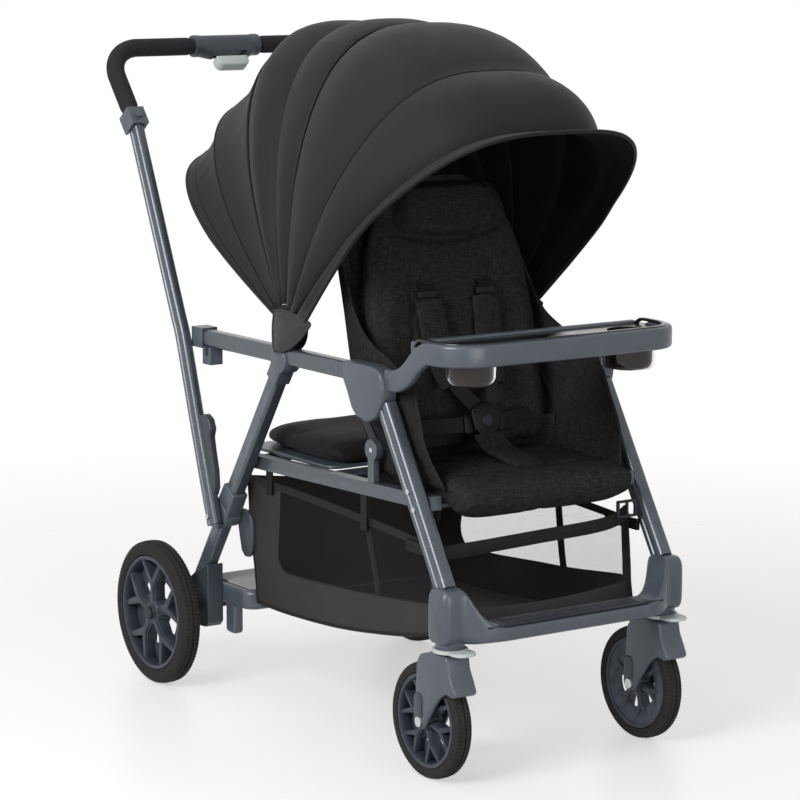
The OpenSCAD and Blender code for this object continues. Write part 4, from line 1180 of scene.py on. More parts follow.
@dataclass
class Fold:
    """The knuckles at both ends of the struts, fold latches and sliders."""

    top: Point2 = (408.0, 605.0)
    pivot: Point2 = (600.0, 316.0)
    inner: float = 198.0
    outer: float = 230.0
    bracket: Outline = ((0, -16), (44, -15), (44, 15), (0, 16))
    housing: Outline = ((58, -18), (0, -20), (0, 20), (58, 18))
    kidney: Outline = (
        (564, 326), (551, 318), (545, 300), (545, 276), (549, 256), (558, 246), (571, 245), (581, 254),
        (586, 272), (592, 296), (592, 316), (580, 327))
    slider: Outline = (
        (597, 350), (590, 364), (592, 392), (602, 430), (606, 450), (601, 464), (608, 480), (622, 487),
        (638, 484), (648, 472), (646, 452), (612, 350))
    slider_x: Point2 = (230.5, 244.0)

    def run(self, down: float, side: float) -> Point2:
        """Finds a point beside the strut.

        Args:
            down: how far along it from its top end.
            side: how far to its rear.

        Returns:
            The point as (y, z).
        """
        length = math.dist(self.top, self.pivot)
        y, z = ((b - a) / length for a, b in zip(self.top, self.pivot))
        return self.top[0] + y * down - z * side, self.top[1] + z * down + y * side

    def form(self, node: str, finish: Finish, plates: Sequence[tuple]) -> None:
        """Builds a piece on both sides from plates with rounded edges.

        Args:
            node: the CAD node it stands for.
            finish: its finish.
            plates: each plate's outline, inner and outer station across, and rounding.
        """
        shape = Shape()
        for outline, inner, outer, round_off in plates:
            push = ACROSS * ((outer - inner) * MM)
            shape.prism(upright(inner, outline), push, round_off * MM, 3)
        shape.mirror()
        shape.piece(node + ".form", finish, frame["nodes"][node]["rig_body"], 35.0, node)

    def build(self) -> None:
        """Builds knuckles, latches and sliders."""
        length = math.dist(self.top, self.pivot)
        inner, outer = self.inner, self.outer
        bracket = [self.run(*p) for p in self.bracket]
        housing = [self.run(length - a, b) for a, b in self.housing]
        self.form("strut_brackets", SLATE, ((circle(23, 32, self.top), inner, outer, 4),
                                            (bracket, inner + 1, outer - 1, 2.5)))
        self.form("fold_housings", SLATE, ((circle(22, 32, self.pivot), inner, outer, 4),
                                           (housing, inner + 1, outer - 1, 3)))
        self.form("fold_latches", SLATE_DARK, ((self.kidney, inner - 9, inner - 0.5, 3),))
        self.form("fold_sliders", SLATE_DARK, ((self.slider, *self.slider_x, 2.5),))


@dataclass
class Handle:
    """The push handle: side tubes, foam grips, release housing and lever."""

    x: float = 240.0
    w: float = 20.0
    d: float = 30.0
    path: Outline = ((595.0, 302.0), (600.0, 316.0), (648, 462), (690.0, 594.0),
                                (702.0, 626.0), (716, 656), (780, 800), (853.0, 965.0))
    collar: Point2 = (853.0, 965.0)
    grip: Point2 = (953.0, 1088.0)
    bend: float = 62.0
    tube_r: float = 10.8
    tube_from: float = -18.0
    foam_r: float = 15.8
    foam_from: float = 22.0
    foam_end: float = 67.6
    facing: Point3 = (0, -0.78, 0.63)
    body_r: float = 17.4
    body_low: float = 27.3
    body_half: float = 60.0
    pocket: Point3 = (0.068, 0.0236, 0.022)
    ring_x: float = 67.0
    ring: Outline = ((11.5, 0), (17.6, 0), (19.2, 0.8), (19.5, 2.2), (19.5, 12),
                                (18.8, 14.6), (16.5, 17.5), (11.5, 17.5))
    paddle: Outline = ((-32, 1.4), (32, 1.4), (32, 13), (29.5, 18.5), (24, 22), (-24, 22),
                                  (-29.5, 18.5), (-32, 13))
    paddle_t: float = 21.0

    @property
    def rise(self) -> float:
        """How far the grip lies above the collar along the bar."""
        return math.dist(self.collar, self.grip)

    def on_top(self, x: float, s: float, n: float = 0.0) -> Vector:
        """A point in the handlebar's plane: across, up along it, and out of it to the front."""
        y, z = ((b - a) / self.rise for a, b in zip(self.collar, self.grip))
        return at(x, self.collar[0] + y * s - z * n, self.collar[1] + z * s + y * n)

    def bar_path(self, start: float, stop: float) -> list[Vector]:
        """The line of the handlebar from its left collar to a station across.

        Args:
            start: how far above the collar it begins.
            stop: the station from the middle where it ends.

        Returns:
            The points of the line.
        """
        straight, inner = self.rise - self.bend, self.x - self.bend
        flat = [(self.x, start), (self.x, (start + straight) / 2)]
        for i in range(13):
            a = math.pi / 2 * i / 12
            flat.append((inner + self.bend * math.cos(a), straight + self.bend * math.sin(a)))
        flat += [(mix(inner, stop, t), self.rise) for t in (0.3, 0.65, 1.0)]
        return [self.on_top(x, s) for x, s in flat]

    def housing(self) -> None:
        """Builds the release housing with the pocket for its lever."""

        def body(u: float, v: float) -> Vector:
            """A point of the housing's skin.

            Args:
                u: the share of the turn.
                v: the share across.

            Returns:
                The point.
            """
            x = mix(-self.body_half, self.body_half, v)
            deep = ease((self.body_half + 2.0 - abs(x)) / 30.0)
            s = math.sin(TURN * u)
            wide, tall = squared(TURN * u, 0.8)
            reach = self.body_r if s > 0 else mix(self.body_r, self.body_low, deep)
            thick = self.body_r - 3.4 * deep * max(0.0, -s)
            return self.on_top(x, self.rise + reach * tall, thick * wide)

        shape, pocket = Shape(), Shape()
        shape.weld(shape.skin(44, 48, body))
        shell = shape.piece("handle_housing.shell", SLATE_DARK, "handle", 50.0, "handle_housing")
        axes = [self.on_top(*p) - self.on_top(0, 0) for p in ((1, 0, 0), (0, 0, 1), (0, 1, 0))]
        base = Matrix([a.normalized() for a in axes]).transposed().to_4x4()
        base.translation = self.on_top(0, self.rise - self.body_low)
        pocket.block(self.pocket, base)
        carve(shell, pocket)
        dress(shell, SLATE_DARK, None, 50.0)

    def rings(self) -> None:
        """Builds the housing's end rings and the raised lines beside them."""
        shape = Shape()
        for side in Side:
            end = self.on_top(self.ring_x * side.value, self.rise)
            shape.lathe(self.ring, end, ACROSS * -side.value, 48)
            for k in (0, 1):
                line = [self.on_top((57 - 5 * k - 11 * t) * side.value, self.rise + 6 - 8 * k - 13 * t,
                                    17.2 - 1.6 * (t + k) ** 2) for t in (0.0, 0.5, 1.0)]
                shape.tube(line, 0.0013, 6, up=ACROSS)
        shape.piece("handle_housing.rings", SLATE_DARK, "handle", 35.0)

    def lever(self) -> None:
        """Builds the pale lever that slides up into the housing."""
        low = self.rise - self.body_low
        outline = [self.on_top(x, low - s, -self.paddle_t / 2) for x, s in self.paddle]
        shape = Shape()
        shape.prism(outline, self.on_top(0, 0, self.paddle_t) - self.on_top(0, 0), 0.003, 3)
        shape.piece("release_lever.paddle", PALE, "release_lever", 40.0, "release_lever")

    def build(self) -> None:
        """Builds tubes, grips, housing and lever."""
        bar, foam, facing = Shape(), Shape(), Vector(self.facing)
        line = spline(upright(self.x, self.path), 6)
        bar.sweep(box_section(self.w, self.d, 8.0, 3.4, 1.6), line, Vector((0, 1, -0.3)))
        bar.tube(self.bar_path(self.tube_from, 0.0), self.tube_r * MM, 20, up=facing)
        bar.mirror()
        bar.piece("handle_bar.tubes", PAINT, "handle", 25.0, "handle_bar")
        sleeve = spline(self.bar_path(self.foam_from, self.foam_end), 3)
        foam.sweep(circle(self.foam_r * MM, 24), sleeve, facing,
                   scale=lambda t: 1.0 - 0.12 * (1 - ease(min(t, 1 - t) / 0.02)))
        foam.mirror()
        foam.piece("foam_grips.sleeves", FOAM, "handle", 50.0, "foam_grips")
        self.housing()
        self.rings()
        self.lever()


@dataclass
class Tray:
    """The snack tray: swept frame, top plate, lip and clear cups."""

    half_w: float = 226.0
    front: float = -85.0
    corner: float = 66.0
    wall: float = 15.0
    h: float = 35.0
    z: float = 665.5
    arm: tuple[Point3, ...] = ((214, 108, 610), (214, 92, 610), (214.5, 76, 613), (215.5, 58, 621),
                               (216.5, 42, 632), (217.5, 27, 645), (218, 12, 656))
    floor_z: float = 651.0
    floor: Outline = ((-206, 40), (206, 40), (210, -20), (180, -68), (0, -72), (-180, -68),
                                 (-210, -20))
    rear_bar: Point3 = (0.43, 0.013, 0.03)
    rear_bar_at: Point3 = (0, 40, 664)
    plate_z: float = 667.0
    plate: Outline = (
        (-212, 38), (-60, 39), (60, 39), (212, 38), (213, -8), (200, -52), (168, -70), (60, -74),
        (-60, -74), (-168, -70), (-200, -52), (-213, -8), (-212, 38))
    cup_x: float = 154.0
    cup_y: float = -28.0
    cup_z: float = 616.0
    cup_wall: Outline = (
        (0.1, 2), (32, 2), (35.5, 5), (37.2, 12), (38, 42), (43, 42.5), (43, 44.5), (40, 44.5),
        (39.4, 12), (37.4, 3), (33, -1), (27, -2), (25, 0), (0.1, 0))
    hole: Outline = ((0.1, 0), (38, 0), (38, 40), (0.1, 40))
    hole_z: float = 650.0

    def line(self, inset: float, lift: float, arm: bool) -> list[Vector]:
        """The plan line of the tray from its left arm round to its right arm.

        Args:
            inset: how far inside the outer face it runs.
            lift: how far above the frame's middle it runs.
            arm: whether it includes the arms down to the armrest.

        Returns:
            The points of the line.
        """
        x, r, y, z = self.half_w - inset, self.corner - inset, self.front + inset, self.z
        if arm:
            half = [*self.arm, (x, -4, z - 1.5), (x, y + r + 3, z)]
        else:
            half = [(x - 3, 36, z - 11), (x - 1, 27, z - 4), (x, 17, z), (x, y + r + 4, z)]
        for i in range(11):
            a = math.pi / 2 * i / 10
            half.append((x - r + r * math.cos(a), y + r - r * math.sin(a), z))
        half += [(x * t, y - 3.0 * (1 - t), z) for t in (0.5, 0.25)]
        points = [*half, (0, y - 3.6, z), *((-a, b, c) for a, b, c in reversed(half))]
        return [at(a, b, c + lift) for a, b, c in points]

    def frame_band(self) -> None:
        """Builds the frame with its arms, floor and rear bar."""
        shape = Shape()
        section = box_section(self.wall, self.h, 5.5, steps=4)
        shape.sweep(section, spline(self.line(self.wall / 2, 0.0, True), 3), UP)
        shape.prism([at(x, y, self.floor_z) for x, y in self.floor], UP * 0.003, 0.001)
        shape.block(self.rear_bar, Matrix.Translation(at(*self.rear_bar_at)), 0.004, 3)
        shape.piece("tray_frame.band", SLATE, "tray", 40.0, "tray_frame")

    def insert(self) -> None:
        """Builds the top plate with its cup holes, and the lip round it."""
        plate, lip = Shape(), Shape()
        edge = spline([at(x, y, self.plate_z) for x, y in self.plate], 4)
        plate.prism(edge[:-1], UP * 0.008, 0.001)
        made = plate.piece("tray_insert.plate", GLOSS, "tray", 40.0, "tray_insert")
        for side in Side:
            hole = Shape()
            hole.lathe(self.hole, at(self.cup_x * side.value, self.cup_y, self.hole_z), UP, 56)
            carve(made, hole)
        dress(made, GLOSS, None, 40.0)
        line = self.line(self.wall - 3.0, self.h / 2 - 0.6, False)
        lip.sweep(box_section(9.0, 5.0, 2.0, steps=3), spline(line, 3), UP)
        lip.piece("tray_insert.lip", GLOSS, "tray", 40.0)

    def build(self) -> None:
        """Builds frame, insert and cups."""
        self.frame_band()
        self.insert()
        cups = Shape()
        for side in Side:
            cups.lathe(self.cup_wall, at(self.cup_x * side.value, self.cup_y, self.cup_z), UP, 56)
        cups.piece("cup_holders.clear", SMOKE, "tray", 50.0, "cup_holders")


@dataclass(frozen=True)
class Seam:
    """A cord sewn over the hood: its bow number, radius, height above the sheet and finish."""

    name: str
    v: float
    radius: float
    off: float
    finish: Finish
    teeth: int = 0


@dataclass(frozen=True)
class Panel:
    """One sheet of the hood between two bows, with its flat size, area and seams."""

    node: str
    body: str
    v0: float
    v1: float
    flat: Point2
    area: float
    seams: tuple[Seam, ...]


@dataclass
class Canopy:
    """The hood: three sheets on bows with piping, hems and patches."""

    y: float = 385.0
    z: float = 660.0
    reach: float = 500.0
    half_w: float = 226.0
    mount: float = 39.0
    lip_end: float = 330.0
    bows: Table = (
        (1.085, 27.5, 1.05, 3.0, 0.0), (1.075, 39, 1.0, 2.5, 0.0), (1.035, 60, 1.02, 2.5, 0.0),
        (0.98, 76, 1.01, 2.45, 0.0), (0.97, 93, 1.04, 2.65, 0.0), (0.985, 121, 1.1, 2.82, 0.0),
        (1.0, 138.5, 1.065, 2.9, 0.0), (1.11, 143, 1.11, 3.2, 30.0))
    bulges: tuple[float, ...] = (-0.03, -0.035, 0.025, 0.006, 0.02, 0.022, -0.01)
    puff: float = 9.0
    puff_span: Point2 = (1.6, 6.8)
    cloth_t: float = 0.0022
    panels: tuple[Panel, ...] = (
        Panel("canopy_rear", "chassis", 0, 2, (1.25, 0.31), 0.23,
              (Seam("hem", 0.0, 2.6, -0.8, CANOPY), Seam("stitch", 0.2, 0.9, 0.2, PIPING),
               Seam("piping", 1.0, 1.5, 0.2, PIPING), Seam("rib", 1.955, 1.7, 0.4, CANOPY),
               Seam("zip", 1.988, 1.9, 0.6, PIPING, 330))),
        Panel("canopy_middle", "canopy_middle", 2, 4, (1.18, 0.3), 0.213,
              (Seam("rib", 3.985, 1.9, 0.2, CANOPY),)),
        Panel("canopy_front", "canopy_front", 4, 7, (1.36, 0.47), 0.36,
              (Seam("piping", 5.0, 1.7, 0.5, PIPING), Seam("stitch", 6.0, 0.9, 0.3, PIPING),
               Seam("hem", 7.0, 3.0, -1.2, PIPING))))
    patch_x: float = 230.6
    patch_line: Outline = (
        (415, 685), (390, 689), (365, 688), (341, 684), (322, 680), (306, 675), (320, 661), (336, 648),
        (361, 633), (383, 624), (402, 618), (417, 622), (420, 655))

    def bow(self, v: float) -> tuple[float, ...]:
        """Shapes the hood at a bow.

        Args:
            v: the bow number, which may lie between two bows.

        Returns:
            Reach, angle, half width, roundness and lip.
        """
        i = min(int(v), len(self.bows) - 2)
        f = v - i
        rows = zip(self.bows[i], self.bows[i + 1])
        reach, angle, wide, n, lip = (mix(a, b, f) for a, b in rows)
        out = 1 + self.bulges[i] * math.sin(math.pi * f)
        return self.reach * reach * out, math.radians(angle), self.half_w * wide * out, n, lip

    def spot(self, u: float, v: float, off: float = 0.0) -> Vector:
        """A point on the hood.

        Args:
            u: the share across, from the right mount to the left.
            v: the bow number, from the rear.
            off: how far outside the sheet.

        Returns:
            The point.
        """
        reach, angle, wide, n, lip = self.bow(v)
        first, last = self.puff_span
        lobe = abs(math.sin(math.pi * v)) ** 0.55 - 0.6
        off += self.puff * lobe * ease((v - first) / 0.8) * ease((last - v) / 0.8)
        reach += off
        t0 = math.asin((self.mount / reach) ** (n / 2))
        c, s = squared(t0 + (math.pi - 2 * t0) * u, 2 / n)
        r = reach * abs(s)
        w = self.half_w + (wide - self.half_w) * min(1.0, 2 * r / reach) + off
        ahead = lip * max(0.0, 1 - r / self.lip_end)
        return at(-c * w, self.y + r * math.cos(angle) - ahead * math.sin(angle),
                  self.z + r * math.sin(angle) + ahead * math.cos(angle))

    def even(self, u: float) -> float:
        """Spreads stations across so that the shoulders get more of them."""
        return u + 0.035 * math.sin(2 * TURN * u)

    def wrinkled(self, u: float, v: float) -> Vector:
        """A point on the sheet with the soft drag lines of stretched cloth.

        Args:
            u: the share across.
            v: the bow number.

        Returns:
            The point.
        """
        drag = noise.noise(Vector((u * 22.0, v * 1.3, 3.1))) * 1.1
        drag += noise.noise(Vector((u * 8.0, v * 2.4, 7.7))) * 1.5
        return self.spot(self.even(u), v, drag * math.sin(math.pi * (v - int(v))))

    def folds(self, obj: Object) -> None:
        """Gives a piece of the hood a mesh of its own."""
        tuple(at(0, self.y, self.z))
        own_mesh(obj)

    def sheet(self, panel: Panel) -> Object:
        """Builds one sheet of the hood, its cloth outside and its lining inside.

        Args:
            panel: the stretch that it covers.

        Returns:
            The sheet.
        """
        shape, heart, v0, v1 = Shape(), at(0, self.y, self.z), panel.v0, panel.v1
        rows = int(12 * (v1 - v0))
        shape.skin(112, rows, lambda u, v: self.wrinkled(u, mix(v0, v1, v)), panel.flat)
        shape.bm.normal_update()
        if sum(f.normal.dot(f.calc_center_median() - heart) for f in shape.bm.faces) < 0:
            bmesh.ops.reverse_faces(shape.bm, faces=shape.bm.faces[:])
        made = shape.piece(panel.node + ".sheet", (CANOPY, LINING), panel.body, 60.0, panel.node,
                           recalc=False)
        modify(made, "SOLIDIFY", thickness=self.cloth_t, offset=-1.0, material_offset=1,
               material_offset_rim=0)
        self.folds(made)
        return made

    def cord(self, panel: Panel, seam: Seam) -> Object:
        """Runs a cord of piping, stitching or zip over the hood at a bow.

        Args:
            panel: the sheet that it is sewn to.
            seam: the cord.

        Returns:
            The cord.
        """
        count = 2 * seam.teeth or 110
        angle = self.bow(seam.v)[1] + TURN / 4
        line = [self.spot(self.even(i / count), seam.v, seam.off) for i in range(count + 1)]
        shape = Shape()
        shape.sweep(circle(seam.radius * MM, 8), line, Vector((0, math.cos(angle), math.sin(angle))),
                    scale=lambda t: 1.0 - 0.45 * (round(t * count) % 2) if seam.teeth else 1.0)
        made = shape.piece(f"{panel.node}.{seam.name}", seam.finish, panel.body, 60.0)
        self.folds(made)
        return made

    def patch(self) -> None:
        """Builds the leather corner patches over the mounts."""
        ring = spline(upright(self.patch_x, (*self.patch_line, self.patch_line[0])), 5)
        steps = len(ring) - 1
        middle = sum(ring[:-1], Vector()) / steps

        def place(u: float, v: float) -> Vector:
            """A point of the domed patch.

            Args:
                u: the share round it.
                v: the share out from its middle.

            Returns:
                The point.
            """
            p = middle.lerp(ring[round(u * steps)], v)
            p.x = (self.patch_x + 0.2 + 5.5 * (1 - v ** 2.6) + 0.7 * noise.noise(p * 60.0)) * MM
            return p

        shape, trim = Shape(), Shape()
        shape.weld(shape.skin(steps, 12, place, (0.3, 0.05)), close=False)
        shape.mirror()
        piece = shape.piece("canopy_mounts.patch", LEATHER, "chassis", 60.0)
        modify(piece, "SOLIDIFY", thickness=0.002, offset=-1.0)
        trim.tube(ring[:-1], 0.0019, 8, closed=True, up=ACROSS)
        trim.mirror()
        trim.piece("canopy_mounts.piping", LEATHER, "chassis", 60.0)

    def build(self) -> None:
        """Builds sheets, seams, hems and patches."""
        sheets = [self.sheet(panel) for panel in self.panels]
        trims = [[self.cord(panel, seam) for seam in panel.seams] for panel in self.panels]
        for panel, sheet, trim in zip(self.panels, sheets, trims):
            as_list(trim)
        self.patch()


@dataclass
class Seat:
    """Seat pad, backrest pad, wings and bench."""

    foot: Point2 = (214.0, 492.0)
    lean: float = math.radians(11.0)
    back_low: float = -26.0
    back_l: float = 424.0
    back_w: float = 166.0
    back_t: float = 36.0
    back_rows: tuple[Point3, ...] = (
        (0, 0.55, 0.88), (0.03, 0.8, 0.96), (0.1, 0.95, 1.0), (0.3, 0.92, 1.0), (0.5, 0.95, 1.0),
        (0.62, 0.92, 0.985), (0.72, 1.0, 0.95), (0.82, 1.05, 0.86), (0.9, 0.95, 0.74),
        (0.96, 0.75, 0.56), (1.0, 0.35, 0.34))
    bolster: float = 26.0
    pillow: Point2 = (314.0, 410.0)
    pillow_half: float = 98.0
    pillow_edge: Point2 = (10.5, 6.5)
    pillow_rise: Point2 = (15.0, 16.0)
    seam_top: float = 288.0
    seam_half: float = 92.0
    seam_edge: Point2 = (3.6, 4.5)
    pad_z: float = 426.3
    pad_half: float = 171.0
    pad_y: Point2 = (-38, 212)
    pad_h: float = 26.0
    pad_rows: Table = (
        (0, 0.55, 0.92, 44), (0.03, 0.8, 0.97, 42), (0.08, 0.98, 0.99, 34), (0.14, 1.02, 1.0, 22),
        (0.2, 0.96, 1.0, 10), (0.28, 0.78, 1.0, 2), (0.42, 0.68, 1.0, 0), (0.6, 0.64, 1.0, 0),
        (0.8, 0.64, 0.99, 0), (0.93, 0.56, 0.97, 0), (1.0, 0.3, 0.92, 0))
    pad_edge: Point2 = (3.2, 5.0)
    bench_half: float = 164.0
    bench_y: Point2 = (338, 608)
    bench_h: float = 17.0
    bench_rows: tuple[Point3, ...] = (
        (0, 0.4, 0.84), (0.03, 0.7, 0.94), (0.1, 0.9, 0.985), (0.25, 1.0, 1.0), (0.5, 0.98, 1.0),
        (0.75, 0.98, 0.97), (0.9, 0.84, 0.9), (0.97, 0.6, 0.8), (1.0, 0.3, 0.7))
    wing_low: tuple[Point3, ...] = ((173, 14, 446), (175, 80, 446), (174, 140, 446), (170, 200, 450),
                                    (162, 234, 470), (138, 212, 466))
    wing_high: tuple[Point3, ...] = (
        (186, 78, 594), (190, 116, 622), (190, 150, 639), (187, 200, 656), (182, 245, 686),
        (178, 284, 746), (165, 348, 862), (118, 318, 884))
    wing_max: float = 0.1965
    flap_half: float = 172.0
    flap_y: float = 236.0
    flap_z: Point2 = (436, 508)

    def on_back(self, x: float, y: float, z: float) -> Vector:
        """A point in the backrest's leaning frame: across, to the rear and up along it."""
        c, s = math.cos(self.lean), math.sin(self.lean)
        return at(x, self.foot[0] + y * c + z * s, self.foot[1] - y * s + z * c)

    def pad(self, node: str, finish: Finish, body: str, grid: tuple[int, int], place: Placer,
            cap: float, softness: float,
            sew: Callable[[Object], None] = lambda obj: None) -> None:
        """Builds a stuffed pad from rings that end in points.

        Args:
            node: the CAD node it stands for.
            finish: its cloth.
            body: the body it rides on.
            grid: steps round it and along it.
            place: gives a point for each pair of shares.
            cap: how far the filling may move a point, in metres.
            sew: sinks the sewn lines.
        """
        shape = Shape()
        shape.weld(shape.skin(*grid, place))
        made = shape.piece(node + ".cover", finish, body, 60.0, node)
        swell(made, 0.006, cap)
        sew(made)
        dress(made, finish, None, 60.0)
        modify(made, "SUBSURF", levels=1, render_levels=1)

    def backrest(self, u: float, v: float) -> Vector:
        """A point of the backrest with its bolsters.

        Args:
            u: the share round it.
            v: the share up along it.

        Returns:
            The point.
        """
        thick, wide = along(self.back_rows, v)
        c, s = squared(TURN * u, 2 / 4.5)
        x = self.back_w * wide * c * 0.985
        if s > 0:
            y = s * self.back_t * 0.46
        else:
            side = self.bolster * abs(c) ** 4 * -s * ease(1.6 - 1.9 * v)
            y = s * self.back_t * thick * 0.42 - side
        return self.on_back(x, y, mix(self.back_low, self.back_l, v))

    def quilt(self, obj: Object) -> None:
        """Raises the head pillow and sinks its edge, two panel seams and drag folds.

        Args:
            obj: the backrest.
        """
        c, s = math.cos(self.lean), math.sin(self.lean)
        forward = Vector((0, -c, s))
        for vert in obj.data.vertices:
            y = vert.co.y / MM + ORIGIN_Y - self.foot[0]
            z = vert.co.z / MM - self.foot[1]
            up, out, x = y * s + z * c, y * c - z * s, vert.co.x / MM
            if out > -4:
                continue
            low = self.pillow[0] + 0.0016 * x * x
            half = self.pillow_half - 0.2 * max(0, up - 350)
            off = max(low - up, up - self.pillow[1], abs(x) - half)
            rise, run = self.pillow_rise
            sink = groove(off, *self.pillow_edge) - rise * ease(-off / run)
            if up < self.seam_top:
                seam = abs(abs(x) - (self.seam_half - 0.12 * (up - 120)))
                sink += groove(seam, *self.seam_edge)
            sink += 2.2 * noise.noise(Vector((x * 0.02, up * 0.045, 1.3)))
            vert.co -= forward * sink * MM

    def seat_pad(self, u: float, v: float) -> Vector:
        """A point of the seat pad with its rolled front edge.

        Args:
            u: the share round it.
            v: the share along it, from the front.

        Returns:
            The point.
        """
        thick, wide, drop = along(self.pad_rows, v)
        c, s = squared(TURN * u, 2 / 6.0)
        h = self.pad_h * thick
        z = self.pad_z + 34 - h * 0.98 - drop * 0.16 + h * s * 0.96
        return at(self.pad_half * wide * c, mix(*self.pad_y, v), z)

    def crease(self, obj: Object) -> None:
        """Sinks the seam behind the seat pad's front roll, with slow dents.

        Args:
            obj: the seat pad.
        """
        for vert in obj.data.vertices:
            x, y = vert.co.x / MM, vert.co.y / MM + ORIGIN_Y
            if vert.co.z / MM > self.pad_z + 16 and y > 0:
                seam = groove(abs(y - 24 - 0.0004 * x * x), *self.pad_edge)
                vert.co.z -= MM * (seam + 1.6 * noise.noise(Vector((x * 0.02, y * 0.03, 4.2))))

    def bench(self, u: float, v: float) -> Vector:
        """A point of the rear bench pad.

        Args:
            u: the share round it.
            v: the share along it, from the front.

        Returns:
            The point.
        """
        thick, wide = along(self.bench_rows, v)
        c, s = squared(TURN * u, 2 / 4.0)
        h = self.bench_h * thick
        return at(self.bench_half * wide * c, mix(*self.bench_y, v), self.pad_z + 7 + h + h * s)

    def wings(self) -> None:
        """Builds the side wings and the flap that close the gap between seat and backrest."""
        lines = [spline([at(*p) for p in line], 8) for line in (self.wing_low, self.wing_high)]

        def place(u: float, v: float) -> Vector:
            """A point of the left wing with its soft folds.

            Args:
                u: the share along it.
                v: the share up it.

            Returns:
                The point.
            """
            ends = []
            for line in lines:
                spot = u * (len(line) - 1)
                i = min(int(spot), len(line) - 2)
                ends.append(line[i].lerp(line[i + 1], spot - i))
            p = ends[0].lerp(ends[1], v)
            slack = math.sin(math.pi * v)
            p.x += (9 * slack + 3.5 * math.sin(9 * u + 5 * v) * slack) * MM
            p.x = min(p.x, self.wing_max)
            return p

        def flap(u: float, v: float) -> Vector:
            """A point of the flap behind the seat pad, bent forward at its ends."""
            bend = 44 * abs(2 * u - 1) ** 10
            return at(mix(-self.flap_half, self.flap_half, u),
                      self.flap_y + 6 * math.sin(math.pi * u) - bend, mix(*self.flap_z, v))

        shape = Shape()
        shape.skin(48, 24, place, (0.3, 0.2))
        shape.mirror()
        shape.skin(24, 6, flap, (0.33, 0.07))
        made = shape.piece("seat_wings.cloth", HEATHER_MAPPED, None, 60.0, "seat_wings")
        modify(made, "SOLIDIFY", thickness=0.003, offset=1.0)
        settle(made)
        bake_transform(made)

    def build(self) -> None:
        """Builds every soft piece of the seats."""
        self.pad("backrest_pad", HEATHER, "backrest", (72, 60), self.backrest, 0.006, 0.7, self.quilt)
        self.pad("seat_pad", HEATHER, "chassis", (64, 48), self.seat_pad, 0.006, 0.75, self.crease)
        self.pad("bench_pad", BENCH, "chassis", (56, 40), self.bench, 0.005, 0.8)
        self.wings()


